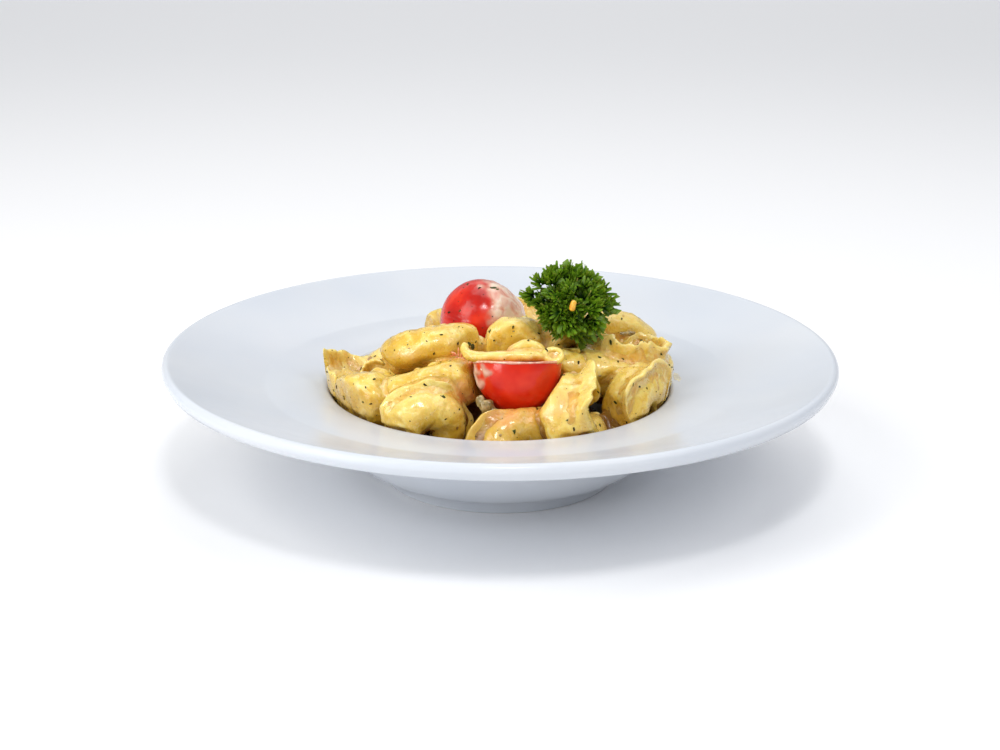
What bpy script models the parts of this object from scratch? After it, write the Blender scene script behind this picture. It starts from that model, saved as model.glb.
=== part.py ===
"""Tortellini in cream sauce, heaped in a wide-rimmed pasta plate with cherry tomatoes and a parsley sprig.

Lengths are in millimetres and become metres where a mesh is made. +Z is up, and the origin is the centre of
the foot ring, on the table. The plate is one turned solid. Each tortellino is a plump ring of filled dough
with a thin, wavy flange, and every piece of the heap is squeezed into the room its neighbours leave it.
"""

import itertools
import math
from dataclasses import dataclass

import bmesh
import bpy
import numpy as np

MM = 0.001

# Plate: driving dimensions.
PLATE_RADIUS = 140.0
PLATE_HEIGHT = 54.8
WELL_RADIUS = 73.4
WELL_EDGE_Z = 40.0
WELL_EDGE_ROUND = 2.6
WALL_THICKNESS = 4.6
FLOOR_Z = 8.0
FLOOR_RADIUS = 38.0
FOOT_RADIUS = 48.5
FOOT_WIDTH = 3.4
FOOT_DEPTH = 2.6
LIP_ROUND = 2.5
LIP_DEPTH = 6.0
RIM_HOLLOW = 1.7
PLATE_SEGMENTS = 48

# Heap: how closely its pieces meet each other and the plate, and how far it spreads over the well's edge.
GAP = 0.4
PLATE_GAP = 0.9
HEAP_RADIUS = 72.0
HEAP_STEEPNESS = 6.0
SOFT_START = 0.88
PLANE_DIRECTIONS = 400

# Core of the heap: the mound of sauce and pasta that the pieces lie on.
CORE_SEGMENTS = 24
CORE_RINGS = 7
CORE_TOP_Z = 46.0
CORE_EDGE_Z = 13.0
CORE_EDGE_THICKNESS = 0.8
CORE_REACH = 16.0
CORE_GAP = 0.8

# Tortellino: the sizes of one of plain size, before its own scale.
RING_RADIUS = 8.9
BELLY_RADIUS = 7.8
BELLY_END_SHARE = 0.42
FLANGE_LENGTH = 6.4
FLANGE_END_SHARE = 0.45
FLANGE_THICKNESS = 2.2
RING_HALF_TURN = math.radians(168)
RING_STATIONS = 12
BELLY_POINTS = 5


@dataclass(frozen=True)
class Tortellino:
    """One tortellino: front is where its fattest part points, and crown where its ring's axis points.

    belly, flange and width stretch the filled roll, the pinched edge and the ring across its front. lean turns
    the flange from level towards the crown, and ripple is its wave, both in degrees. phase shifts the wave.
    give is how much it yields where it meets another piece.
    """

    name: str
    centre: tuple
    front: tuple
    crown: tuple
    scale: float = 1.0
    belly: float = 1.0
    flange: float = 1.0
    width: float = 1.0
    lean: float = 50.0
    ripple: float = 14.0
    phase: float = 0.0
    give: float = 1.0


@dataclass(frozen=True)
class Tomato:
    """A cherry tomato: axis points at its stem end, and cut is how far along it the fruit is kept, or None."""

    name: str
    centre: tuple
    axis: tuple
    radius: float = 17.0
    length_share: float = 1.0
    cut: float = None


TORTELLINI = (
    # The ring of pieces along the front edge of the well, from left to right.
    Tortellino("tortellino_left_open", (-63.5, -8, 41), (-0.8, -0.6, 0.1), (0.25, -0.25, 1),
               scale=1.12, belly=0.85, flange=1.15, width=1, lean=62, ripple=16, phase=0.4, give=0.8),
    Tortellino("tortellino_left_pillow", (-49, -32, 43), (-0.2, -0.9, 0.3), (0.1, 0.5, 1),
               scale=1.17, belly=1.25, flange=0.3, width=1.1, lean=110, ripple=8, phase=2.4, give=0.6),
    Tortellino("tortellino_front_left", (-31, -52, 39), (-0.35, -0.1, 1), (0.3, -1, 0),
               scale=0.98, belly=1.12, flange=0.65, width=1.1, lean=-15, ripple=14, phase=2.1, give=0.6),
    Tortellino("tortellino_front_low", (5.5, -56, 31.5), (-0.5, -0.2, 0.85), (0.35, -0.9, 0.3),
               scale=1.1, belly=1.1, flange=0.5, width=1.15, lean=5, ripple=14, phase=0.9),
    Tortellino("tortellino_front_peak", (32, -50, 40), (-0.1, -0.9, 0.1), (0.9, -0.3, 0.3),
               scale=1.15, belly=1.25, flange=1.2, width=1, lean=60, ripple=14, phase=2.8, give=0.5),
    Tortellino("tortellino_front_right", (56, -31, 39.5), (-0.3, -0.6, 0.8), (0.8, -0.7, 0.2),
               scale=1.17, belly=1.05, flange=0.6, width=1.05, lean=40, ripple=12, phase=1.7, give=0.5),
    Tortellino("tortellino_right_edge", (62, 3, 35), (0.9, 0.1, 0.2), (-0.2, 0.2, 1),
               scale=1.1, belly=0.95, flange=0.8, width=1, lean=40, ripple=8, phase=0.2),
    # The ring along the back edge, seen from behind.
    Tortellino("tortellino_back_right", (47, 34, 38.5), (0.7, 0.6, 0.3), (-0.4, -0.2, 1),
               scale=1.2, belly=1, flange=1, width=1.1, lean=55, ripple=14, phase=1.1),
    Tortellino("tortellino_back_mid_right", (21, 55, 38), (0.2, 0.9, 0.5), (0.3, -0.5, 0.9),
               scale=1.2, belly=1.05, flange=1, width=1, lean=40, ripple=16, phase=2.4),
    Tortellino("tortellino_back_mid_left", (-12, 56, 37), (-0.3, 0.5, 0.9), (0.4, 0.9, -0.2),
               scale=1.2, belly=1, flange=1, width=1.1, lean=25, ripple=14, phase=0.5),
    Tortellino("tortellino_back_left", (-43, 41, 32), (-0.6, 0.7, 0.2), (0.2, -0.1, 1),
               scale=1.12, belly=1, flange=0.5, width=1.1, lean=10, ripple=14, phase=1.9),
    Tortellino("tortellino_left_back", (-58, 22, 32), (-0.9, 0.2, 0.2), (0.3, 0.1, 1),
               scale=1.1, belly=1.05, flange=0.4, width=1, lean=20, ripple=10, phase=2.9),
    # The second ring, which lies on the first.
    Tortellino("tortellino_left_inner", (-49, -14, 45), (0.5, 0.8, 0.2), (-0.3, -0.5, 1),
               scale=0.92, belly=0.75, flange=0.7, width=1, lean=100, ripple=6, phase=0.7),
    Tortellino("tortellino_mid_long", (-27, -33, 48.5), (0.3, -0.9, 0.1), (-0.2, 0.2, 1),
               scale=1.15, belly=1.12, flange=0.3, width=1.35, lean=130, ripple=8, phase=1.5, give=0.8),
    Tortellino("tortellino_upper_left", (-27, -10, 58), (0.1, -0.9, 0.3), (-0.1, 0.3, 0.9),
               scale=1.15, belly=1.08, flange=0.3, width=1.2, lean=130, ripple=8, phase=2.6, give=0.6),
    Tortellino("tortellino_right_wavy", (52, -10, 52), (0.3, -0.95, 0), (0.3, -0.1, 1),
               scale=1.1, belly=1.15, flange=0.9, width=1.4, lean=88, ripple=8, phase=0.3, give=0.6),
    Tortellino("tortellino_right_upper", (43.5, 16, 55), (0.2, -0.8, 0.4), (0.2, 0.5, 0.9),
               scale=1.15, belly=1.35, flange=0.3, width=1.2, lean=125, ripple=10, phase=1.2, give=0.6),
    Tortellino("tortellino_back_upper_left", (-21, 36, 47), (-0.4, 0.3, 0.9), (0.8, 0.5, 0.2),
               scale=1.05, belly=1.05, flange=0.8, width=1, lean=60, ripple=12, phase=2),
    Tortellino("tortellino_back_upper", (3, 41, 49), (0.1, 0.8, 0.6), (0.1, -0.5, 0.8),
               scale=1.12, belly=1, flange=0.6, width=1.1, lean=50, ripple=14, phase=0.8),
    Tortellino("tortellino_back_upper_right", (27, 33, 49), (0.5, 0.5, 0.8), (-0.6, 0.7, 0.3),
               scale=1.15, belly=1.05, flange=0.4, width=1, lean=20, ripple=14, phase=1.6),
    # The top of the heap.
    Tortellino("tortellino_top_flap", (5, -26, 61), (0.1, -1, 0.15), (0, 0.2, 1),
               scale=1.12, belly=0.45, flange=0.3, width=1.35, lean=30, ripple=14, phase=2.2, give=0.5),
    Tortellino("tortellino_top_belly", (6, -7, 60.5), (0, -0.9, 0.5), (0.1, 0.3, 0.9),
               scale=1, belly=1.4, flange=0.3, width=0.85, lean=120, ripple=10, phase=0.1, give=0.35),
    Tortellino("tortellino_top_right", (20.5, -1, 60.5), (0.5, -0.8, 0.3), (-0.7, 0.2, 0.7),
               scale=1.05, belly=1.15, flange=0.6, width=1, lean=60, ripple=12, phase=1.4),
    Tortellino("tortellino_under_sprig", (30, -18, 53.5), (0.1, -0.9, 0.3), (0.3, 0.2, 0.9),
               scale=0.87, belly=1.1, flange=0.3, width=1, lean=110, ripple=8, phase=2.7),
)

TOMATOES = (
    Tomato("tomato_back", (-7.5, 14, 62.5), (0.55, 0.5, 0.65), 18.2, 0.97),
    Tomato("tomato_half_front", (7, -37, 60), (0.0, 0.305, 0.952), 17.6, 1.16, 0.0),
    Tomato("tomato_hidden_left", (-31, 24, 43.5), (-0.3, 0.6, 0.7), 12.5, 1.0),
)

SPRIG_CENTRE = (28, -15, 76.5)
SPRIG_RADII = (19.5, 17.0, 18.5)
SPRIG_GIVE = 3.0
SPRIG_LOBES = 7
SPRIG_TIERS = 7
SPRIG_LOBE_DEPTH = 0.09
SPRIG_TAPER = 0.6
SPRIG_SUBDIVISIONS = 3


def unit(vector):
    """The vector as a numpy array of length 1."""
    array = np.array(vector, float)
    return array / np.linalg.norm(array)


# Plate outline: (radius, height) pairs in millimetres, from functions of the driving dimensions.


def arc(centre, radii, start_deg, end_deg, count):
    """Points along an ellipse's arc; 0 degrees points outwards and 90 degrees up."""
    angles = np.radians(np.linspace(start_deg, end_deg, count))
    return [(centre[0] + radii[0] * math.cos(a), centre[1] + radii[1] * math.sin(a)) for a in angles]


def rim_points(start, end, count):
    """The rim's hollow upper face, level at the well and steeper towards the lip."""
    points = []
    for share in np.linspace(0, 1, count):
        radius = start[0] + (end[0] - start[0]) * share
        points.append((radius, start[1] + (end[1] - start[1]) * share**RIM_HOLLOW))
    return points


def upper_outline():
    """The face that food lies on, from the centre outwards: floor, curved wall, rounded well edge and rim."""
    wall_radius = WELL_RADIUS - WELL_EDGE_ROUND
    wall_top = WELL_EDGE_Z - WELL_EDGE_ROUND
    wall = arc((FLOOR_RADIUS, wall_top), (wall_radius - FLOOR_RADIUS, wall_top - FLOOR_Z), -90, -8, 6)
    edge = arc((WELL_RADIUS, wall_top), (WELL_EDGE_ROUND, WELL_EDGE_ROUND), 165, 100, 3)
    rim_start = (WELL_RADIUS + WELL_EDGE_ROUND, WELL_EDGE_Z + 0.2)
    lip_start = (PLATE_RADIUS - LIP_ROUND, PLATE_HEIGHT)
    return [(0, FLOOR_Z)] + wall + edge + rim_points(rim_start, lip_start, 5)


def lower_outline():
    """The outside, from the lip down the rim's underside and the wall to the foot ring and the hollow base."""
    lip = arc((PLATE_RADIUS - LIP_ROUND, PLATE_HEIGHT - LIP_ROUND), (LIP_ROUND, LIP_ROUND), 45, -25, 3)
    under_lip = (PLATE_RADIUS - 1.4, PLATE_HEIGHT - LIP_DEPTH)
    under_rim = (WELL_RADIUS + WALL_THICKNESS + 4.0, WELL_EDGE_Z - WALL_THICKNESS - 1.0)
    underside = rim_points(under_rim, under_lip, 4)[::-1]
    wall_z = WELL_EDGE_Z - WELL_EDGE_ROUND
    wall_radii = (WELL_RADIUS + WALL_THICKNESS - 1.5 - FLOOR_RADIUS, wall_z - FLOOR_Z + WALL_THICKNESS)
    wall = arc((FLOOR_RADIUS, wall_z), wall_radii, -22, -68, 4)
    foot = [(FOOT_RADIUS + 1.2, 2.0), (FOOT_RADIUS, 0), (FOOT_RADIUS - FOOT_WIDTH, 0)]
    base = [(FOOT_RADIUS - FOOT_WIDTH - 1.6, FOOT_DEPTH), (0, FOOT_DEPTH + 0.4)]
    return lip + underside + wall + foot + base


def clearance_curve():
    """(radii, heights) that food stays above: PLATE_GAP off the plate, and steep where the well ends."""
    outline = np.array(upper_outline() + [(PLATE_RADIUS, PLATE_HEIGHT)])
    radii = np.linspace(0, PLATE_RADIUS, 561)
    heights = np.interp(radii, outline[:, 0], outline[:, 1])
    apart = np.abs(radii[:, None] - radii[None, :])
    reach = np.sqrt(np.clip(PLATE_GAP**2 - apart**2, 0, None))
    lifted = np.where(apart <= PLATE_GAP, heights[None, :] + reach, -np.inf).max(axis=1)
    return radii, np.maximum(lifted, WELL_EDGE_Z + HEAP_STEEPNESS * (radii - HEAP_RADIUS))


# Raw shapes: each returns (points, faces) in millimetres.


def tortellino_section(spec, angle):
    """One slice of the dough ring as (outwards, up) offsets: a belly with a thin flange pinched out of it."""
    share = abs(angle) / RING_HALF_TURN
    fade = math.sqrt(max(0.0, 1 - share**2.2))
    belly = BELLY_RADIUS * spec.belly * (BELLY_END_SHARE + (1 - BELLY_END_SHARE) * fade)
    length = FLANGE_LENGTH * spec.flange * (FLANGE_END_SHARE + (1 - FLANGE_END_SHARE) * fade)
    length *= 1 + 0.12 * math.sin(5 * angle + spec.phase)
    half = FLANGE_THICKNESS / 2
    sides = np.radians(np.linspace(52, 308, BELLY_POINTS))
    loop = [(belly * math.cos(a), belly * math.sin(a)) for a in sides]
    loop += [(belly + 0.12 * length, -1.5 * half), (belly + 0.75 * length, -half)]
    loop += [(belly + length, 0.0)]
    loop += [(belly + 0.75 * length, half), (belly + 0.12 * length, 1.5 * half)]
    turn = math.radians(spec.lean)
    wave = math.radians(spec.ripple) * math.sin(4 * angle + 2 * spec.phase)
    section = []
    for along, across in loop:
        bend = turn + wave * max(0.0, along - 0.5 * belly) / (belly + length)
        outwards = along * math.cos(bend) - across * math.sin(bend)
        section.append((outwards, along * math.sin(bend) + across * math.cos(bend)))
    return section


def tortellino_shape(spec):
    """The dough ring: slices swept round its axis, one end passing just above the other, and capped."""
    points, faces = [], []
    angles = np.linspace(-RING_HALF_TURN, RING_HALF_TURN, RING_STATIONS)
    for angle in angles:
        lift = 1.6 * angle / RING_HALF_TURN
        for outwards, up in tortellino_section(spec, angle):
            radius = RING_RADIUS + outwards
            points.append((radius * math.cos(angle), radius * math.sin(angle), up + lift))
    count = BELLY_POINTS + 5
    for station in range(RING_STATIONS - 1):
        for k in range(count):
            a, b = station * count + k, station * count + (k + 1) % count
            faces.append((a, a + count, b + count, b))
    faces.append(tuple(range(count)))
    faces.append(tuple(reversed(range((RING_STATIONS - 1) * count, RING_STATIONS * count))))
    local = np.array(points)
    local -= (local.max(axis=0) + local.min(axis=0)) / 2
    local[:, 1] *= spec.width
    crown = unit(spec.crown)
    side = unit(np.cross(crown, unit(spec.front)))
    turned = np.stack([np.cross(side, crown), side, crown])
    return np.array(spec.centre, float) + spec.scale * local @ turned, faces


def tomato_shape(spec):
    """A slightly long ball, or the part of it below its cut face, with its axis along spec.axis."""
    ball = bmesh.new()
    bmesh.ops.create_uvsphere(ball, u_segments=16, v_segments=8, radius=spec.radius)
    if spec.cut is not None:
        kept = bmesh.ops.bisect_plane(
            ball, geom=ball.verts[:] + ball.edges[:] + ball.faces[:],
            plane_co=(0, 0, spec.cut), plane_no=(0, 0, 1), clear_outer=True,
        )
        edges = [item for item in kept["geom_cut"] if isinstance(item, bmesh.types.BMEdge)]
        bmesh.ops.contextual_create(ball, geom=edges)
    ball.verts.index_update()
    local = np.array([vert.co[:] for vert in ball.verts])
    faces = [tuple(vert.index for vert in face.verts) for face in ball.faces]
    ball.free()
    local[:, 2] *= spec.length_share
    axis = unit(spec.axis)
    side = unit(np.cross(axis, (1, 0, 0.1)))
    turned = np.stack([np.cross(side, axis), side, axis])
    return np.array(spec.centre, float) + local @ turned, faces


def sprig_shape():
    """The outer form of the curly sprig: a dome with lobes of leaflets, drawn in below towards its stem."""
    ball = bmesh.new()
    bmesh.ops.create_icosphere(ball, subdivisions=SPRIG_SUBDIVISIONS, radius=1.0)
    ball.verts.index_update()
    local = np.array([vert.co[:] for vert in ball.verts])
    faces = [tuple(vert.index for vert in face.verts) for face in ball.faces]
    ball.free()
    turn = np.arctan2(local[:, 1], local[:, 0])
    rise = np.arcsin(np.clip(local[:, 2], -1, 1))
    bulge = np.cos(SPRIG_LOBES * turn + 4 * rise) * np.cos(rise) + np.cos(SPRIG_TIERS * rise)
    local *= 1 + SPRIG_LOBE_DEPTH * bulge[:, None]
    local[:, :2] *= 1 + SPRIG_TAPER * np.minimum(local[:, 2:], 0)
    return np.array(SPRIG_CENTRE, float) + local * np.array(SPRIG_RADII), faces


# Squeezing: each piece keeps to the side of a plane between itself and each neighbour, and above the plate.


@dataclass
class Piece:
    """A piece of the heap: its mesh, the point it is squeezed towards, and how much it gives way."""

    name: str
    points: np.ndarray
    faces: list
    centre: np.ndarray
    give: float
    material: str


def even_directions(count):
    """Unit vectors spread evenly over a sphere, along a spiral from pole to pole."""
    steps = np.arange(count) + 0.5
    height = 1 - 2 * steps / count
    turn = math.pi * (1 + math.sqrt(5)) * steps
    radius = np.sqrt(1 - height**2)
    return np.stack([radius * np.cos(turn), radius * np.sin(turn), height], axis=1)


def dividing_planes(pieces):
    """For each piece, the (normal, distance from its centre) of the planes that keep its neighbours off it.

    Each plane is turned so that it asks for the least squeezing, which its two pieces share by how they give.
    """
    directions = even_directions(PLANE_DIRECTIONS)
    reaches = [((piece.points - piece.centre) @ directions.T).max(axis=0) for piece in pieces]
    back_reaches = [((piece.centre - piece.points) @ directions.T).max(axis=0) for piece in pieces]
    planes = [[] for _ in pieces]
    for i, j in itertools.combinations(range(len(pieces)), 2):
        sizes = reaches[i] + back_reaches[j]
        overlaps = sizes + GAP - directions @ (pieces[j].centre - pieces[i].centre)
        least = (overlaps / sizes).argmin()
        given = pieces[i].give + pieces[j].give
        if overlaps[least] > 0 and given > 0:
            share = pieces[i].give / given
            normal = directions[least]
            planes[i].append((normal, reaches[i][least] - overlaps[least] * share))
            planes[j].append((-normal, back_reaches[j][least] - overlaps[least] * (1 - share)))
    return planes


def squeezed(piece, planes, clearance):
    """The piece's points, drawn towards its centre so that they keep inside the planes and off the plate."""
    offset = piece.points - piece.centre
    reach = np.linalg.norm(offset, axis=1)
    direction = offset / reach[:, None]
    limit = np.full(len(offset), np.inf)
    for normal, distance in planes:
        towards = direction @ normal
        hits = towards > 1e-6
        limit[hits] = np.minimum(limit[hits], distance / towards[hits])
    steps = np.linspace(0, 1.7, 120)
    path = piece.centre + offset[:, None, :] * steps[None, :, None]
    floor = np.interp(np.hypot(path[..., 0], path[..., 1]), *clearance)
    blocked = path[..., 2] < floor
    first = np.where(blocked.any(axis=1), steps[np.maximum(blocked.argmax(axis=1) - 1, 0)], np.inf)
    limit = np.minimum(limit, first * reach)
    bounded = np.isfinite(limit) & (reach > SOFT_START * limit)
    start = SOFT_START * limit[bounded]
    room = limit[bounded] - start
    past = (reach[bounded] - start) / room
    reach[bounded] = start + room * past / (1 + past)
    return piece.centre + direction * reach[:, None]


def heap_pieces():
    """Every piece of the heap, squeezed into place."""
    pieces = []
    for spec in TORTELLINI:
        points, faces = tortellino_shape(spec)
        pieces.append(Piece(spec.name, points, faces, np.array(spec.centre, float), spec.give, "pasta"))
    for spec in TOMATOES:
        points, faces = tomato_shape(spec)
        pieces.append(Piece(spec.name, points, faces, points.mean(axis=0), 0.0, "tomato"))
    points, faces = sprig_shape()
    centre = np.array(SPRIG_CENTRE, float)
    pieces.append(Piece("parsley_sprig", points, faces, centre, SPRIG_GIVE, "parsley"))
    clearance = clearance_curve()
    for piece, planes in zip(pieces, dividing_planes(pieces)):
        if piece.give:
            piece.points = squeezed(piece, planes, clearance)
    return pieces


def core_shape(pieces):
    """The sauce and pasta inside the heap, as one mound that stays below every piece lying on it."""
    radii_curve, floor_curve = clearance_curve()
    in_well = radii_curve < WELL_RADIUS
    outer = float(np.interp(CORE_EDGE_Z, floor_curve[in_well], radii_curve[in_well]))
    resting = np.concatenate([piece.points for piece in pieces])
    bottom_rows, top_rows = [], []
    for ring in range(1, CORE_RINGS + 1):
        radius = outer * ring / CORE_RINGS
        floor = float(np.interp(radius, radii_curve, floor_curve))
        mound = CORE_EDGE_Z + (CORE_TOP_Z - CORE_EDGE_Z) * (1 - (radius / outer) ** 2)
        bottom_row, top_row = [], []
        for angle in np.linspace(0, 2 * math.pi, CORE_SEGMENTS, endpoint=False):
            x, y = radius * math.cos(angle), radius * math.sin(angle)
            near = np.hypot(resting[:, 0] - x, resting[:, 1] - y) < CORE_REACH
            lowest = resting[near, 2].min() - CORE_GAP if near.any() else mound
            bottom_row.append((x, y, floor))
            top_row.append((x, y, max(min(mound, lowest), floor + CORE_EDGE_THICKNESS)))
        bottom_rows.append(bottom_row)
        top_rows.append(top_row)
    rows = bottom_rows + top_rows[::-1]
    points = [point for row in rows for point in row]
    points += [(0, 0, FLOOR_Z + PLATE_GAP), (0, 0, min(z for _, _, z in top_rows[0]))]
    last = (len(rows) - 1) * CORE_SEGMENTS
    faces = []
    for k in range(CORE_SEGMENTS):
        following = (k + 1) % CORE_SEGMENTS
        for start in range(0, last, CORE_SEGMENTS):
            a, b = start + k, start + following
            faces.append((a, b, b + CORE_SEGMENTS, a + CORE_SEGMENTS))
        faces.append((len(points) - 2, following, k))
        faces.append((len(points) - 1, last + k, last + following))
    return np.array(points), faces


# Blender objects.


def new_material(name, colour, roughness):
    """A Principled material with one colour."""
    material = bpy.data.materials.new(name)
    material.use_nodes = True
    shader = material.node_tree.nodes["Principled BSDF"]
    shader.inputs["Base Color"].default_value = (*colour, 1.0)
    shader.inputs["Roughness"].default_value = roughness
    shader.inputs["Metallic"].default_value = 0.0
    material.diffuse_color = (*colour, 1.0)
    return material


def add_object(name, points, faces, material):
    """A smooth-shaded mesh object from points in millimetres, its faces turned outwards."""
    mesh = bpy.data.meshes.new(name)
    mesh.from_pydata([tuple(float(c) * MM for c in point) for point in points], [], faces)
    solid = bmesh.new()
    solid.from_mesh(mesh)
    bmesh.ops.recalc_face_normals(solid, faces=solid.faces)
    solid.to_mesh(mesh)
    solid.free()
    mesh.shade_smooth()
    mesh.materials.append(material)
    made = bpy.data.objects.new(name, mesh)
    bpy.context.scene.collection.objects.link(made)
    return made


def add_plate(material):
    """The plate: its outline turned about the Z axis by a Screw modifier."""
    outline = upper_outline() + lower_outline()
    mesh = bpy.data.meshes.new("plate")
    edges = [(k, k + 1) for k in range(len(outline) - 1)]
    mesh.from_pydata([(radius * MM, 0, height * MM) for radius, height in outline], edges, [])
    mesh.materials.append(material)
    plate = bpy.data.objects.new("plate", mesh)
    bpy.context.scene.collection.objects.link(plate)
    turn = plate.modifiers.new("turn", "SCREW")
    turn.steps = turn.render_steps = PLATE_SEGMENTS
    turn.use_merge_vertices = True
    turn.merge_threshold = 0.00001
    turn.use_smooth_shade = True
    return plate


def main():
    """Clears the scene and builds the plate, the core of the heap, and every piece that lies on it."""
    for old in list(bpy.data.objects):
        bpy.data.objects.remove(old)
    materials = {
        "porcelain": new_material("porcelain", (0.86, 0.87, 0.9), 0.08),
        "pasta": new_material("pasta", (0.85, 0.62, 0.2), 0.35),
        "sauce": new_material("sauce", (0.83, 0.6, 0.3), 0.3),
        "tomato": new_material("tomato", (0.72, 0.05, 0.02), 0.2),
        "parsley": new_material("parsley", (0.05, 0.2, 0.02), 0.5),
    }
    add_plate(materials["porcelain"])
    pieces = heap_pieces()
    for piece in pieces:
        add_object(piece.name, piece.points, piece.faces, materials[piece.material])
    points, faces = core_shape(pieces)
    add_object("heap_core", points, faces, materials["sauce"])


main()
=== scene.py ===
"""Tortellini in cream sauce: finishes, sauce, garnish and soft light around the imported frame.

Tables hold millimetres, which become metres where a mesh is made. Each CAD node is replaced by a finer piece
made by the same rules: the plate is turned from its outline, and the dough rings are squeezed between the same
planes. The sauce, the herbs and the sprig's leaflets are meshes of their own.
"""

import itertools
import logging
import math
from dataclasses import dataclass, field
from enum import Enum
from functools import partial

import bmesh
import bpy
import numpy as np
from bpy.types import Material, Mesh, Node, NodeSocket, NodeTree, Object
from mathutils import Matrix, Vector, noise


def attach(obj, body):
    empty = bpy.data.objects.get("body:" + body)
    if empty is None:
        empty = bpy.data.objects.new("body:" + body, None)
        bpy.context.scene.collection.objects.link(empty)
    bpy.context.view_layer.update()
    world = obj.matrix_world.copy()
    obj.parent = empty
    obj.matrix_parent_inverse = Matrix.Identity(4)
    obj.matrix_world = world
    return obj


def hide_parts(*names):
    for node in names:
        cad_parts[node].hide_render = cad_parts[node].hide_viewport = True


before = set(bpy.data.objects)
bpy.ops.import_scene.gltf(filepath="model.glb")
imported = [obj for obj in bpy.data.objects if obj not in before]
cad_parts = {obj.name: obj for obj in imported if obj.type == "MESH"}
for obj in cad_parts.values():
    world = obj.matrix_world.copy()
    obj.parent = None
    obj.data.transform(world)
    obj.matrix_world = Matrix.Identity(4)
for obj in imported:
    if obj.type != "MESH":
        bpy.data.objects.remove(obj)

LOG = logging.getLogger("tortellini")
MM = 0.001
BODY = "root"

# Plate: driving dimensions.
PLATE_RADIUS = 140.0
PLATE_HEIGHT = 54.8
WELL_RADIUS = 73.4
WELL_EDGE_Z = 40.0
WELL_EDGE_ROUND = 2.6
WALL_THICKNESS = 4.6
FLOOR_Z = 8.0
FLOOR_RADIUS = 38.0
FOOT_RADIUS = 48.5
FOOT_WIDTH = 3.4
FOOT_DEPTH = 2.6
LIP_ROUND = 2.5
LIP_DEPTH = 6.0
RIM_HOLLOW = 1.7

# Plate: where the well's wall ends, and where the rim starts and ends, as radius and height.
WALL_RADIUS = WELL_RADIUS - WELL_EDGE_ROUND
WALL_TOP = WELL_EDGE_Z - WELL_EDGE_ROUND
RIM_START = (WELL_RADIUS + WELL_EDGE_ROUND, WELL_EDGE_Z + 0.2)
RIM_END = (PLATE_RADIUS - LIP_ROUND, PLATE_HEIGHT)

# Heap: how closely its pieces meet each other and the plate.
GAP = 0.4
PLATE_GAP = 0.9
HEAP_RADIUS = 72.0
HEAP_STEEPNESS = 6.0
SOFT_START = 0.88
PLANE_DIRECTIONS = 400

# Tortellino: the sizes of one of plain size, before its own scale.
RING_RADIUS = 8.9
BELLY_RADIUS = 7.8
BELLY_END_SHARE = 0.42
FLANGE_LENGTH = 6.4
FLANGE_END_SHARE = 0.45
FLANGE_THICKNESS = 2.2
RING_HALF_TURN = math.radians(168)
RING_END_TURN = math.radians(9)


class Slot(Enum):
    """The material slots."""

    PORCELAIN = "porcelain"
    PASTA = "pasta"
    SAUCE = "sauce"
    TOMATO = "tomato"
    PARSLEY = "parsley"


# Colour and node helpers.


def colour(code: str) -> tuple[float, float, float, float]:
    """Turns an sRGB hex code into Blender's linear colour.

    Args:
        code: Six hex digits, with or without a leading #.

    Returns:
        Red, green, blue and alpha.
    """
    digits = code.lstrip("#")
    parts = [int(digits[k : k + 2], 16) / 255 for k in (0, 2, 4)]
    linear = [p / 12.92 if p <= 0.04045 else ((p + 0.055) / 1.055) ** 2.4 for p in parts]
    return (*linear, 1.0)


def add_node(tree: NodeTree, kind: str, sockets: dict | None = None, **settings: object) -> Node:
    """Adds a node, sets its properties, and fills its inputs with values or links.

    Args:
        tree: The node tree to add to.
        kind: The node's bl_idname.
        sockets: Input name or number to a value, or to the output socket that feeds it.
        settings: The node's own properties.

    Returns:
        The new node.
    """
    node = tree.nodes.new(kind)
    for name, value in settings.items():
        setattr(node, name, value)
    for key, value in (sockets or {}).items():
        if isinstance(value, NodeSocket):
            tree.links.new(value, node.inputs[key])
        else:
            node.inputs[key].default_value = value
    return node


def painted(tree: NodeTree, source: NodeSocket, tones: list[tuple], tints: tuple | list = ()) -> NodeSocket:
    """Paints a base colour in tones, then lays tints over it.

    Args:
        tree: The node tree to add to.
        source: The number from 0 to 1 that the tones follow.
        tones: Positions and sRGB hex codes, in rising order.
        tints: For each tint, the number or the vertex attribute that it follows, that number's range, how much of
            the tint there is at the two ends of the range, and its sRGB hex code.

    Returns:
        The colour.
    """
    ramp = add_node(tree, "ShaderNodeValToRGB", {"Fac": source})
    elements = ramp.color_ramp.elements
    while len(elements) < len(tones):
        elements.new(1.0)
    for element, (position, code) in zip(elements, tones):
        element.position = position
        element.color = colour(code)
    base = ramp.outputs["Color"]
    for follows, (start, end), (least, most), code in tints:
        if isinstance(follows, str):
            follows = add_node(tree, "ShaderNodeAttribute", attribute_name=follows).outputs["Fac"]
        limits = {"Value": follows, 1: start, 2: end, 3: least, 4: most}
        share = add_node(tree, "ShaderNodeMapRange", limits, interpolation_type="SMOOTHSTEP").outputs["Result"]
        base = add_node(tree, "ShaderNodeMix", {0: share, 6: base, 7: colour(code)}, data_type="RGBA").outputs[2]
    return base


def grain(tree: NodeTree, size_mm: float, detail: float = 3.0, distortion: float = 0.0) -> NodeSocket:
    """Noise in object space whose features are size_mm across.

    Args:
        tree: The node tree to add to.
        size_mm: The size of a feature in millimetres.
        detail: The noise's octaves.
        distortion: How much the noise bends itself.

    Returns:
        The noise's number, about 0.3 to 0.7.
    """
    place = add_node(tree, "ShaderNodeTexCoord").outputs["Object"]
    sockets = {"Vector": place, "Scale": 1 / (size_mm * MM), "Detail": detail, "Distortion": distortion}
    return add_node(tree, "ShaderNodeTexNoise", sockets).outputs["Fac"]


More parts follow.
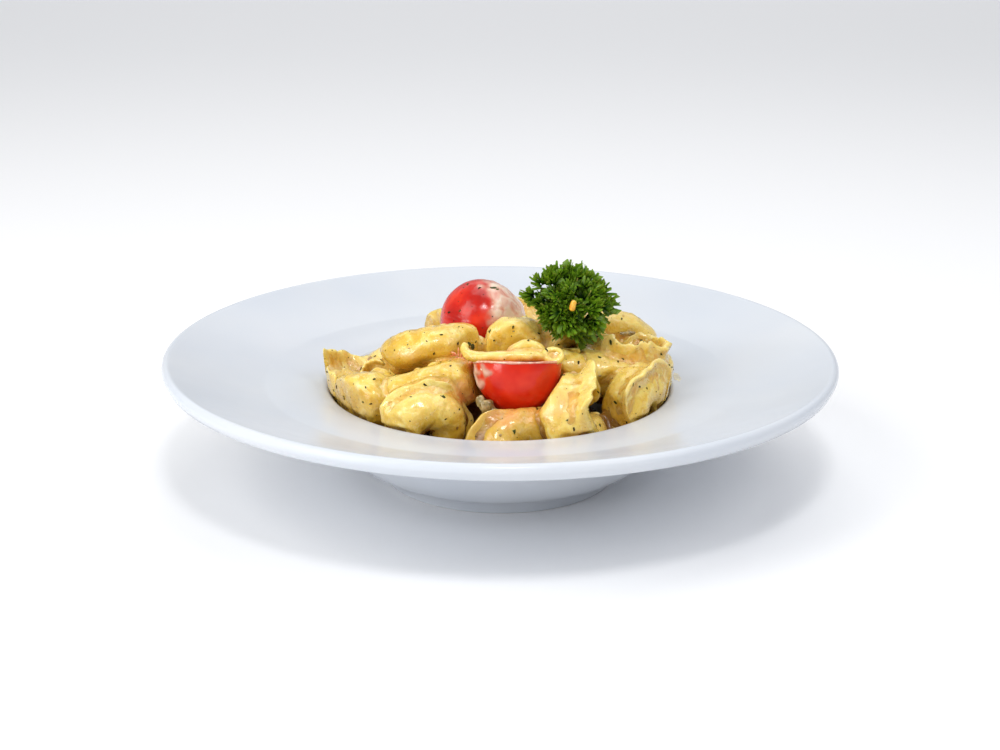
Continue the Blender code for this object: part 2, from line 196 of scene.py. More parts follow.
def bumped(tree: NodeTree, heights: list[tuple[NodeSocket, float]]) -> NodeSocket:
    """Stacks bumps on the surface.

    Args:
        tree: The node tree to add to.
        heights: Height sockets and the depth in millimetres that a step from 0 to 1 stands for.

    Returns:
        The bumped normal.
    """
    normal = None
    for height, depth_mm in heights:
        sockets = {"Strength": 1.0, "Distance": depth_mm * MM, "Height": height}
        if normal is not None:
            sockets["Normal"] = normal
        normal = add_node(tree, "ShaderNodeBump", sockets).outputs["Normal"]
    return normal


def new_surface(name: str) -> tuple[Material, NodeTree, Node]:
    """An empty material with a Principled shader.

    Args:
        name: The material's name.

    Returns:
        The material, its node tree and its shader.
    """
    material = bpy.data.materials.new(name)
    material.use_nodes = True
    return material, material.node_tree, material.node_tree.nodes["Principled BSDF"]


def fill(shader: Node, glow: tuple = (), coat: tuple = (), **values: object) -> None:
    """Sets the shader's sockets.

    Args:
        shader: The shader.
        glow: The subsurface weight, the colours' shares of its depth, and its depth in metres.
        coat: The coat's weight and roughness.
        values: Values or sockets by name, where an underscore stands for a space. A socket with four numbers eases
            from the third to the fourth as the socket goes from the first to the second.
    """
    values |= dict(zip(("Subsurface_Weight", "Subsurface_Radius", "Subsurface_Scale"), glow))
    values |= dict(zip(("Coat_Weight", "Coat_Roughness"), coat))
    tree = shader.id_data
    for name, value in values.items():
        socket = shader.inputs[name.replace("_", " ")]
        if isinstance(value, tuple) and isinstance(value[0], NodeSocket):
            limits = dict(zip(("Value", 1, 2, 3, 4), value))
            value = add_node(tree, "ShaderNodeMapRange", limits, interpolation_type="SMOOTHSTEP").outputs["Result"]
        if isinstance(value, NodeSocket):
            tree.links.new(value, socket)
        else:
            socket.default_value = value


# Finishes: each is a frozen set of choices that builds one material.


@dataclass(frozen=True)
class GlazedPorcelain:
    """Hard white hotel porcelain: a cool, clear glaze that mirrors the lamps with slightly wavy edges."""

    tone: str = "#D5D9DF"
    pooled: str = "#CED4DD"
    roughness: float = 0.20

    def build(self) -> Material:
        """The glaze over most of the plate.

        Returns:
            The material.
        """
        material, tree, shader = new_surface("glazed_porcelain")
        fill(
            shader,
            Base_Color=painted(tree, grain(tree, 60, 2), [(0.3, self.pooled), (0.7, self.tone)]),
            Roughness=(grain(tree, 22, 4), 0.35, 0.7, self.roughness, self.roughness + 0.06),
            Specular_IOR_Level=0.3,
            Normal=bumped(tree, [(grain(tree, 30, 2), 0.10), (grain(tree, 1.6, 2), 0.004)]),
            glow=(0.06, (1.0, 0.9, 0.8), 0.002),
        )
        return material


@dataclass(frozen=True)
class BareFoot:
    """The ground underside of the foot ring, where the glaze is wiped off: matt, with a fine grit."""

    tone: str = "#D9D6CF"
    grit: str = "#C9C5BC"

    def build(self) -> Material:
        """The unglazed ring that stands on the table.

        Returns:
            The material.
        """
        material, tree, shader = new_surface("bare_porcelain")
        grit = grain(tree, 0.5, 4)
        fill(
            shader,
            Base_Color=painted(tree, grit, [(0.3, self.grit), (0.6, self.tone)]),
            Roughness=0.75,
            Normal=bumped(tree, [(grit, 0.05)]),
        )
        return material


@dataclass(frozen=True)
class SaucedDough:
    """Fresh egg dough under a thin coat of cream sauce: warm yellow, translucent at its pinched edge, and glossy
    in streaks where the cream runs. Its colour also holds painted light and shade: lighter where it faces up,
    darker where it faces down and in its creases."""

    shade: str = "#DCAE2E"
    dough: str = "#E8C044"
    sheen: str = "#F2D366"
    cream: str = "#FBE8A4"
    thin: str = "#F8DD8E"
    # The bare and coated tones are partly sauce and partly painted light and shade: bare darkens what faces down,
    # coated lightens what faces up.
    bare: str = "#CB981E"
    coated_and_lit: str = "#F9DF86"
    # Painted shade: the deep tone darkens the dough in its creases.
    deep: str = "#C89218"
    blush: str = "#F0A468"
    pepper: str = "#7A4A12"

    def build(self) -> Material:
        """The dough, the cream's streaks, the tomato's blush, the fine pepper dust, and painted light and shade.

        Returns:
            The material.
        """
        material, tree, shader = new_surface("sauced_dough")
        streaks = grain(tree, 7, 4, 1.2)
        film = grain(tree, 2.2, 4, 0.6)
        place = add_node(tree, "ShaderNodeTexCoord").outputs["Object"]
        cells = {"Vector": place, "Scale": 1 / (1.7 * MM)}
        dust = add_node(tree, "ShaderNodeTexVoronoi", cells).outputs["Distance"]
        base = painted(
            tree, streaks, [(0.28, self.shade), (0.46, self.dough), (0.60, self.sheen), (0.76, self.cream)],
            [
                (film, (0.52, 0.70), (0, 0.45), self.cream),
                ("thin", (0.25, 1.0), (0, 0.35), self.thin),
                # Partly sauce, partly painted light and shade: darker where the dough faces down, lighter where it
                # faces up.
                ("cling", (0.5, 0.0), (0, 0.5), self.bare),
                ("cling", (0.45, 1.0), (0, 0.42), self.coated_and_lit),
                # Painted shade in the creases.
                ("crease", (0.60, 0.9), (0, 0.42), self.deep),
                ("blush", (0.05, 1.0), (0, 0.68), self.blush),
                (dust, (0.05, 0.10), (0.7, 0), self.pepper),
            ],
        )
        fill(
            shader,
            Base_Color=base,
            Roughness=(film, 0.35, 0.65, 0.38, 0.2),
            glow=(0.35, (1.0, 0.8, 0.25), 0.003),
            coat=(0.7, 0.13),
            Normal=bumped(tree, [(streaks, 0.8), (film, 0.3), (grain(tree, 0.7, 3), 0.03)]),
        )
        return material


@dataclass(frozen=True)
class CreamSauce:
    """The cream sauce that lies in the folds and under the heap: rich yellow, glossy, orange near tomatoes, and
    painted darker, as shade, the lower it lies.
    """

    light: str = "#F6DC90"
    middle: str = "#E5B652"
    dark: str = "#CC9430"
    blush: str = "#E08A48"
    gap_shade: str = "#6E3C0A"

    def build(self) -> Material:
        """The sauce in the gaps, with painted shade that makes it darker the deeper it lies.

        Returns:
            The material.
        """
        material, tree, shader = new_surface("cream_sauce")
        swirl = grain(tree, 5, 4, 1.0)
        base = painted(
            tree, swirl, [(0.3, self.dark), (0.5, self.middle), (0.7, self.light)],
            # Painted shade: the depth tint darkens the sauce deep in the heap.
            [("blush", (0.05, 1.0), (0, 0.85), self.blush), ("depth", (0.0, 1.0), (0, 0.9), self.gap_shade)],
        )
        fill(
            shader,
            Base_Color=base,
            Roughness=(grain(tree, 2.5, 3), 0.35, 0.65, 0.34, 0.16),
            glow=(0.3, (1.0, 0.5, 0.15), 0.003),
            coat=(0.4, 0.1),
            Normal=bumped(tree, [(swirl, 0.6), (grain(tree, 1.4, 4), 0.25)]),
        )
        return material


@dataclass(frozen=True)
class TomatoSkin:
    """Taut cherry tomato skin: a deep clear red that scatters light inside, with a hard shine and fine pores."""

    tone: str = "#DC2607"
    dark: str = "#C81C06"
    bright: str = "#E83A18"
    film: str = "#DE937C"

    def build(self) -> Material:
        """The skin, with the thin veil of cream at the edge of its film.

        Returns:
            The material.
        """
        material, tree, shader = new_surface("tomato_skin")
        base = painted(
            tree, grain(tree, 9, 2), [(0.25, self.dark), (0.5, self.tone), (0.75, self.bright)],
            [("film", (0.0, 0.5), (0, 0.85), self.film)],
        )
        fill(
            shader,
            Base_Color=base,
            Roughness=(grain(tree, 3, 3), 0.3, 0.7, 0.16, 0.26),
            glow=(0.25, (1.0, 0.15, 0.08), 0.004),
            Specular_IOR_Level=0.35,
            coat=(0.15, 0.05),
            Normal=bumped(tree, [(grain(tree, 6, 2), 0.35), (grain(tree, 0.5, 2), 0.015)]),
        )
        return material


@dataclass(frozen=True)
class TomatoCream:
    """Cream that has run over a tomato: milky where it lies thick, rosy and see-through where it thins out."""

    thick: str = "#EDD3BD"
    middle: str = "#DDA48D"
    edge: str = "#CB5A45"

    def build(self) -> Material:
        """The film, by how thick it lies.

        Returns:
            The material.
        """
        material, tree, shader = new_surface("tomato_cream")
        patches = grain(tree, 4.5, 4, 0.8)
        film = add_node(tree, "ShaderNodeAttribute", attribute_name="film").outputs["Fac"]
        depth = add_node(tree, "ShaderNodeMath", {0: film, 1: patches}, operation="MULTIPLY").outputs[0]
        fill(
            shader,
            Base_Color=painted(tree, depth, [(0.10, self.edge), (0.32, self.middle), (0.56, self.thick)]),
            Roughness=0.24,
            glow=(0.35, (1.0, 0.6, 0.4), 0.002),
            coat=(0.4, 0.1),
            Normal=bumped(tree, [(patches, 0.3), (grain(tree, 1.5, 3), 0.06)]),
        )
        return material


@dataclass(frozen=True)
class TomatoFlesh:
    """Wet cut tomato: a paler, fibrous outer wall and clear orange-red gel in the seed chambers."""

    wall: str = "#D8452A"
    dark: str = "#B92A12"
    pale: str = "#EE7B58"
    gel: str = "#C9541C"

    def build(self) -> Material:
        """The cut face, with gel where the chambers are.

        Returns:
            The material.
        """
        material, tree, shader = new_surface("tomato_flesh")
        fibre = grain(tree, 1.8, 4, 1.5)
        base = painted(
            tree, fibre, [(0.3, self.dark), (0.6, self.wall), (0.8, self.pale)],
            [("gel", (0.2, 0.8), (0, 0.9), self.gel)],
        )
        fill(
            shader,
            Base_Color=base,
            Roughness=0.12,
            glow=(0.4, (1.0, 0.3, 0.12), 0.004),
            coat=(0.6, 0.05),
            Normal=bumped(tree, [(fibre, 0.15)]),
        )
        return material


@dataclass(frozen=True)
class PlainFinish:
    """One small thing's finish: two tones clouded together, with its own gloss and inner glow."""

    name: str
    light: str
    dark: str
    size_mm: float = 1.0
    roughness: float = 0.4
    glow: float = 0.2
    glow_mm: float = 1.0
    coat: float = 0.0
    shine: float = 0.5

    def build(self) -> Material:
        """The two tones, broken up at the thing's own scale.

        Returns:
            The material.
        """
        material, tree, shader = new_surface(self.name)
        clouds = grain(tree, self.size_mm, 3)
        fill(
            shader,
            Base_Color=painted(tree, clouds, [(0.35, self.dark), (0.65, self.light)]),
            Roughness=self.roughness,
            Specular_IOR_Level=self.shine,
            glow=(self.glow, (1.0, 0.8, 0.4), self.glow_mm * MM),
            coat=(self.coat, 0.1),
            Normal=bumped(tree, [(clouds, 0.12 * self.size_mm)]),
        )
        return material


@dataclass(frozen=True)
class CurlyLeaf:
    """Curly parsley: deep green, waxy on top, and painted lighter towards its tooth tips, as light shining through
    it.
    """

    deep: str = "#092E03"
    mid: str = "#184A07"
    tip: str = "#7DA81F"

    def build(self) -> Material:
        """The leaf, lighter towards its toothed edge.

        Returns:
            The leaf, painted lighter towards its toothed edge, as light shining through it.
        """
        material, tree, shader = new_surface("curly_leaf")
        base = painted(
            tree, grain(tree, 3, 3), [(0.3, self.deep), (0.7, self.mid)],
            # Painted light: the tip tint lightens the toothed edge, as if lit through the thin leaf.
            [("tip", (0.4, 1.0), (0, 0.62), self.tip)],
        )
        fill(
            shader,
            Base_Color=base,
            Roughness=0.36,
            Specular_IOR_Level=0.35,
            glow=(0.15, (0.4, 1.0, 0.1), 0.0008),
            Normal=bumped(tree, [(grain(tree, 0.5, 2), 0.04)]),
        )
        return material


# Small things' finishes: name, light tone, dark tone, grain in millimetres, roughness, glow, its depth and coat.
# Dried leaf is brown to olive and dull, and pepper is dark and dry.
DARK_HERB = PlainFinish("dried_herb", "#3B3112", "#1D1708", 0.4, 0.7, 0.0, shine=0.1)
GREEN_HERB = PlainFinish("green_herb", "#4C5620", "#262A0C", 0.4, 0.6, 0.05, shine=0.15)
PEPPER = PlainFinish("ground_pepper", "#46290F", "#1C0F05", 0.3, 0.65, 0.0, shine=0.15)
WILTED_HERB = PlainFinish("wilted_herb", "#596024", "#2A200E", 1.1, 0.5, 0.1, shine=0.3)
# A fresh stalk is pale green and waxy, and its cut end is wet and yellow.
STALK = PlainFinish("parsley_stalk", "#C9C05A", "#7E9A34", 2.0, 0.35, 0.2, 0.8, 0.2)
CUT_END = PlainFinish("cut_stalk", "#F7C545", "#E79A1C", 1.5, 0.3, 0.2, 0.8, 0.3)
# Stewed onion and tomato are soft and see-through, and a seed is pale and slick.
STEWED_ONION = PlainFinish("stewed_onion", "#C4B07C", "#8A7440", 2.2, 0.2, 0.5, 2.0, 0.5)
STEWED_TOMATO = PlainFinish("stewed_tomato", "#EBA877", "#CC6B38", 1.0, 0.25, 0.4, 1.5, 0.4)
TOMATO_SEED = PlainFinish("tomato_seed", "#EBCB7A", "#D9A850", 1.0, 0.3, 0.4, 1.0, 0.4)
# Cream is milky: rosy with tomato juice in lines and drops, and duller where it has dried on the rim.
CREAM_RIDGE = PlainFinish("cream_line", "#F4CDB4", "#DE8F78", 2.0, 0.25, 0.4, 1.0, 0.4)
CREAM_DROP = PlainFinish("cream_drop", "#F6DFC8", "#EBC3A4", 1.0, 0.2, 0.4, 1.0, 0.5)
DRIED_CREAM = PlainFinish("dried_cream", "#E4DCC2", "#D8CAA0", 2.0, 0.3, 0.3, 1.0, 0.3)


# Mesh helpers.


def unit(vector: object) -> np.ndarray:
    """The vector at length 1."""
    array = np.asarray(vector, float)
    return array / np.linalg.norm(array)


def smoothstep(values: np.ndarray, low: float, high: float) -> np.ndarray:
    """A smooth rise from 0 at low to 1 at high."""
    share = np.clip((values - low) / (high - low), 0, 1)
    return share * share * (3 - 2 * share)


def noise_at(points: np.ndarray, size_mm: float, seed: float = 0.0) -> np.ndarray:
    """Smooth noise at each point.

    Args:
        points: Points in millimetres, one a row.
        size_mm: The size of a feature.
        seed: Moves the noise, so that two pieces differ.

    Returns:
        A number from about -1 to 1 for each point.
    """
    shift = Vector((seed * 7.3, seed * 3.1, -seed * 5.7))
    return np.array([noise.noise(Vector(point) / size_mm + shift) for point in points])


def unit_ball(subdivisions: int) -> tuple[np.ndarray, list]:
    """A ball of radius 1 cut into near-equal triangles.

    Args:
        subdivisions: How finely to cut it.

    Returns:
        Its points and faces.
    """
    ball = bmesh.new()
    bmesh.ops.create_icosphere(ball, subdivisions=subdivisions, radius=1.0)
    ball.verts.index_update()
    points = np.array([vert.co[:] for vert in ball.verts])
    faces = [tuple(vert.index for vert in face.verts) for face in ball.faces]
    ball.free()
    return points, faces


def ring_quads(rings: int, count: int, closed: bool = False) -> list[tuple]:
    """The faces between rings of points.

    Args:
        rings: How many rings there are.
        count: Points in each ring.
        closed: Whether the last ring joins the first.

    Returns:
        The corners of each face.
    """
    faces = []
    for ring, k in itertools.product(range(rings if closed else rings - 1), range(count)):
        here, there, after = ring * count, (ring + 1) % rings * count, (k + 1) % count
        faces.append((here + k, here + after, there + after, there + k))
    return faces


@dataclass
class Gathered:
    """Bodies gathered for one mesh: points in millimetres, and faces."""

    points: list = field(default_factory=list)
    faces: list = field(default_factory=list)

    def add(self, points: np.ndarray, faces: list) -> None:
        """Adds one body."""
        self.faces += [tuple(corner + len(self.points) for corner in face) for face in faces]
        self.points += np.asarray(points, float).tolist()


def show(thing: Object) -> Object:
    """Puts an object in the scene."""
    bpy.context.scene.collection.objects.link(thing)
    return thing


def final_mesh(thing: Object) -> Mesh:
    """A plain mesh of what the object's modifiers or its curve make of it."""
    return bpy.data.meshes.new_from_object(thing.evaluated_get(bpy.context.evaluated_depsgraph_get()))


def add_mesh(name: str, points: np.ndarray, faces: list, materials: list[Material]) -> Object:
    """A smooth-shaded mesh object from points in millimetres, its faces turned outwards.

    Args:
        name: The piece's name.
        points: Points in millimetres, one a row.
        faces: The corners of each face.
        materials: The mesh's materials.

    Returns:
        The new object, in the scene.
    """
    mesh = bpy.data.meshes.new(name)
    mesh.from_pydata((np.asarray(points, float) * MM).tolist(), [], faces)
    solid = bmesh.new()
    solid.from_mesh(mesh)
    bmesh.ops.recalc_face_normals(solid, faces=solid.faces)
    solid.to_mesh(mesh)
    solid.free()
    mesh.shade_smooth()
    for material in materials:
        mesh.materials.append(material)
    return show(bpy.data.objects.new(name, mesh))


def joined_copy(name: str, pieces: list[Object]) -> Object:
    """Copies pieces into one mesh object, which is kept out of the scene.

    Args:
        name: The copy's name.
        pieces: The pieces to copy.

    Returns:
        The copy.
    """
    whole = bmesh.new()
    for piece in pieces:
        whole.from_mesh(piece.data)
    mesh = bpy.data.meshes.new(name)
    whole.to_mesh(mesh)
    whole.free()
    return bpy.data.objects.new(name, mesh)


def vertex_array(mesh: Mesh, kind: str = "co") -> np.ndarray:
    """Reads the mesh's vertices.

    Args:
        mesh: The mesh.
        kind: "co" for positions in metres, or "normal".

    Returns:
        One row for each vertex.
    """
    source = mesh.vertices if kind == "co" else mesh.vertex_normals
    flat = np.zeros(len(mesh.vertices) * 3, np.float32)
    source.foreach_get("co" if kind == "co" else "vector", flat)
    return flat.reshape(-1, 3).astype(float)


def move_vertices(mesh: Mesh, places: np.ndarray) -> None:
    """Puts the mesh's vertices at places, in metres."""
    mesh.vertices.foreach_set("co", places.astype(np.float32).ravel())
    mesh.update()


def push_out(mesh: Mesh, shift: np.ndarray) -> None:
    """Moves each vertex along its normal, by its shift in millimetres."""
    move_vertices(mesh, vertex_array(mesh) + vertex_array(mesh, "normal") * (shift * MM)[:, None])


def mark(mesh: Mesh, name: str, values: np.ndarray) -> None:
    """Keeps one number on each vertex, for a material to read."""
    layer = mesh.attributes.new(name, "FLOAT", "POINT")
    layer.data.foreach_set("value", values.astype(np.float32))


def neighbour_mean(mesh: Mesh, values: np.ndarray) -> np.ndarray:
    """For each vertex, the mean of a value over the vertices that share an edge with it.

    Args:
        mesh: The mesh.
        values: One row for each vertex.

    Returns:
        The means, one row for each vertex.
    """
    pairs = np.zeros(len(mesh.edges) * 2, np.int32)
    mesh.edges.foreach_get("vertices", pairs)
    pairs = pairs.reshape(-1, 2)
    total = np.zeros_like(values)
    np.add.at(total, pairs[:, 0], values[pairs[:, 1]])
    np.add.at(total, pairs[:, 1], values[pairs[:, 0]])
    count = np.bincount(pairs.ravel(), minlength=len(values)).astype(float)
    return total / np.maximum(count, 1).reshape(-1, *[1] * (values.ndim - 1))


def creasedness(mesh: Mesh, reach: int = 3) -> np.ndarray:
    """How deep in a crease each vertex lies.

    Args:
        mesh: The mesh.
        reach: How many times the measure is spread to its neighbours.

    Returns:
        0.5 on a flat, above it in a hollow and below it on a ridge.
    """
    places = vertex_array(mesh)
    hollow = ((neighbour_mean(mesh, places) - places) * vertex_array(mesh, "normal")).sum(axis=1) / MM
    for _ in range(reach):
        hollow = 0.5 * hollow + 0.5 * neighbour_mean(mesh, hollow)
    return np.clip(0.5 + hollow * 6.0, 0, 1)


def cling_and_light_at(mesh: Mesh, cream: float) -> np.ndarray:
    """How much sauce clings at each vertex, which the dough also shows as painted light and shade: most on what
    faces up, in patches, from 0 to 1.

    Args:
        mesh: The mesh.
        cream: The share that the whole piece holds, which also paints it lighter or darker all over.

    Returns:
        One number for each vertex.
    """
    # Painted light: what faces up holds more, and so is painted lighter.
    facing = smoothstep(vertex_array(mesh, "normal")[:, 2], -0.5, 0.9)
    patches = noise_at(vertex_array(mesh) / MM, 7.0, 21.0)
    return np.clip(facing * (0.55 + cream * 0.75) + 0.35 * patches * facing + 0.4 * (cream - 0.6), 0, 1)


def placed(piece: Object, slot: Slot, *nodes: str) -> Object:
    """Args:
        piece: The piece, in place.
        slot: The material slot that its finish comes from. Not used.
        nodes: The CAD nodes that it stands for.

    Returns:
        The piece.
    """
    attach(piece, BODY)
    if nodes:
        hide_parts(*nodes)
    LOG.info("%s: %d faces", piece.name, len(piece.data.polygons))
    return piece


# Tomato blush: where the sauce has taken up tomato juice, as (centre, radius, strength).
BLUSHES = (
    ((0, -36, 62), 12.0, 0.55),
    ((-11, -31, 62), 7.0, 0.85),
    ((14, -28, 62), 8.0, 0.35),
    ((-35, -30, 58), 5.0, 0.6),
    ((-12, -44, 50), 7.5, 0.75),
    ((2, -58, 46), 8.0, 0.75),
    ((13, -54, 44), 8.0, 0.45),
    ((24, -58, 48), 9.0, 0.55),
    ((30, -62, 40), 8.0, 0.35),
    ((-20, 6, 58), 7.0, 0.5),
)


def blush_at(points: np.ndarray) -> np.ndarray:
    """How much tomato there is in the sauce.

    Args:
        points: Points in millimetres, one a row.

    Returns:
        A number from 0 to 1 for each point.
    """
    total = np.zeros(len(points))
    for centre, radius, strength in BLUSHES:
        away = np.linalg.norm(points - np.array(centre, float), axis=1)
        total = np.maximum(total, strength * (1 - smoothstep(away, 0.35 * radius, 1.35 * radius)))
    return np.clip(total * (1 + 0.9 * noise_at(points, 5.0, 4.0)), 0, 1)


def mark_dough(mesh: Mesh, thin: np.ndarray, cream: float, reach: int = 3) -> None:
    """Keeps on each vertex what the dough's finish reads.

    Args:
        mesh: The mesh.
        thin: How thin the dough is at each vertex.
        cream: The share of sauce that the piece holds, which also sets its painted light and shade.
        reach: How far its creases are spread.
    """
    mark(mesh, "thin", thin)
    # Sauce on top, and painted light and shade: lighter where the dough faces up, darker where it faces down.
    mark(mesh, "cling", cling_and_light_at(mesh, cream))
    # Painted shade: the dough is darker in its hollows.
    mark(mesh, "crease", creasedness(mesh, reach))
    mark(mesh, "blush", blush_at(vertex_array(mesh) / MM))


# The plate.


@dataclass
class Plate:
    """The wide-rimmed pasta plate, turned more finely from the outline of its CAD node.

    The shoulder is the faint ridge between the rim and the well, which ends in a crease at shoulder_radius.
    """

    segments: int = 288
    foot_round: float = 0.7
    shoulder_radius: float = 98.5
    shoulder_height: float = 0.75

    @staticmethod
    def arc(centre: tuple, radii: tuple, start_deg: float, end_deg: float, count: int) -> list[tuple]:
        """Points along an ellipse's arc; 0 degrees points outwards and 90 degrees up."""
        angles = np.radians(np.linspace(start_deg, end_deg, count))
        return [(centre[0] + radii[0] * math.cos(a), centre[1] + radii[1] * math.sin(a)) for a in angles]

    @staticmethod
    def rim(start: tuple, end: tuple, count: int) -> list[tuple]:
        """The rim's hollow face, level at the well and steeper towards the lip.

        Args:
            start: The radius and height of its inner end.
            end: The radius and height of its outer end.
            count: How many points to make.

        Returns:
            Radii and heights in millimetres.
        """
        (inner, low), (outer, high) = start, end
        shares = np.linspace(0, 1, count)
        return [(inner + (outer - inner) * share, low + (high - low) * share**RIM_HOLLOW) for share in shares]

    def upper(self) -> list[tuple]:
        """The face that food lies on.

        Returns:
            Radii and heights in millimetres, from the centre outwards.
        """
        wall = self.arc((FLOOR_RADIUS, WALL_TOP), (WALL_RADIUS - FLOOR_RADIUS, WALL_TOP - FLOOR_Z), -90, -8, 26)
        edge = self.arc((WELL_RADIUS, WALL_TOP), (WELL_EDGE_ROUND, WELL_EDGE_ROUND), 172, 96, 10)
        rim = []
        for radius, z in self.rim(RIM_START, RIM_END, 62):
            share = np.clip((self.shoulder_radius - radius) / (self.shoulder_radius - RIM_START[0]), 0, 1)
            rim.append((radius, z + self.shoulder_height * math.sin(math.pi * share)))
        floor = [(r, FLOOR_Z) for r in np.linspace(0, FLOOR_RADIUS, 6)[:-1]]
        return floor + wall + edge + rim

    def lower(self) -> list[tuple]:
        """The outside, down the underside and the wall to the foot ring and the hollow base.

        Returns:
            Radii and heights in millimetres, from the lip to the centre.
        """
        lip = self.arc((RIM_END[0], PLATE_HEIGHT - LIP_ROUND), (LIP_ROUND, LIP_ROUND), 80, -25, 12)
        under_lip = (PLATE_RADIUS - 1.4, PLATE_HEIGHT - LIP_DEPTH)
        under_rim = (WELL_RADIUS + WALL_THICKNESS + 4.0, WELL_EDGE_Z - WALL_THICKNESS - 1.0)
        radii = (WELL_RADIUS + WALL_THICKNESS - 1.5 - FLOOR_RADIUS, WALL_TOP - FLOOR_Z + WALL_THICKNESS)
        wall = self.arc((FLOOR_RADIUS, WALL_TOP), radii, -22, -68, 20)
        fr = self.foot_round
        foot = [(FOOT_RADIUS + 1.2, 2.0)]
        foot += self.arc((FOOT_RADIUS - fr, fr), (fr, fr), 0, -90, 5)
        foot += self.arc((FOOT_RADIUS - FOOT_WIDTH + fr, fr), (fr, fr), -90, -180, 5)
        base = [(FOOT_RADIUS - FOOT_WIDTH - 1.6, FOOT_DEPTH), (20, FOOT_DEPTH + 0.3), (0, FOOT_DEPTH + 0.4)]
        return lip + self.rim(under_rim, under_lip, 24)[::-1] + wall + foot + base

    def clearance(self) -> tuple[np.ndarray, np.ndarray]:
        """What food stays above: just off the plate, and steep where the well ends.

        Returns:
            Radii, and the height at each.
        """
        outline = [(0, FLOOR_Z)]
        outline += self.arc((FLOOR_RADIUS, WALL_TOP), (WALL_RADIUS - FLOOR_RADIUS, WALL_TOP - FLOOR_Z), -90, -8, 6)
        outline += self.arc((WELL_RADIUS, WALL_TOP), (WELL_EDGE_ROUND, WELL_EDGE_ROUND), 165, 100, 3)
        outline += self.rim(RIM_START, RIM_END, 5)
        outline = np.array(outline + [(PLATE_RADIUS, PLATE_HEIGHT)])
        radii = np.linspace(0, PLATE_RADIUS, 561)
        heights = np.interp(radii, outline[:, 0], outline[:, 1])
        apart = np.abs(radii[:, None] - radii[None, :])
        reach = np.sqrt(np.clip(PLATE_GAP**2 - apart**2, 0, None))
        lifted = np.where(apart <= PLATE_GAP, heights[None, :] + reach, -np.inf).max(axis=1)
        return radii, np.maximum(lifted, WELL_EDGE_Z + HEAP_STEEPNESS * (radii - HEAP_RADIUS))

    def build(self) -> Object:
        """Turns the outline and dresses it: glaze all over, bare porcelain under the foot ring.

        Returns:
            The plate.
        """
        outline = np.array(self.upper() + self.lower())[1:-1]
        count, last = self.segments, (len(outline) - 1) * self.segments
        turns = np.linspace(0, 2 * math.pi, count, endpoint=False)
        radii, heights = outline[:, :1], np.repeat(outline[:, 1:], count, 1)
        rings = np.stack([radii * np.cos(turns), radii * np.sin(turns), heights], axis=-1)
        points = rings.reshape(-1, 3).tolist() + [(0, 0, FLOOR_Z), (0, 0, FOOT_DEPTH + 0.4)]
        faces = []
        for k in range(count):
            after = (k + 1) % count
            for start in range(0, last, count):
                faces.append((start + k, start + after, start + count + after, start + count + k))
            faces.append((len(points) - 2, after, k))
            faces.append((len(points) - 1, last + k, last + after))
        plate = add_mesh("pasta_plate", points, faces, [GlazedPorcelain().build(), BareFoot().build()])
        for face in plate.data.polygons:
            face.material_index = int(all(plate.data.vertices[v].co.z < 0.25 * MM for v in face.vertices))
        return placed(plate, Slot.PORCELAIN, "plate")


# The dough rings and how they are squeezed.


@dataclass(frozen=True)
class Detail:
    """How finely a dough ring is cut.

    flange holds (share of the length, share of the thickness) pairs, blend the points of the curve that joins
    the belly to the flange, and end how far past its ends the ring is rounded off.
    """

    stations: int
    belly_points: int
    blend: int
    flange: tuple
    end: float


COARSE = Detail(12, 5, 0, ((0.12, 1.5), (0.75, 1.0)), 0.0)
FINE = Detail(
    132, 30, 4,
    ((0.12, 1.5), (0.22, 1.3), (0.34, 1.15), (0.46, 1.05), (0.58, 0.98), (0.70, 0.92), (0.82, 0.82), (0.91, 0.66),
     (0.97, 0.42)),
    RING_END_TURN,
)


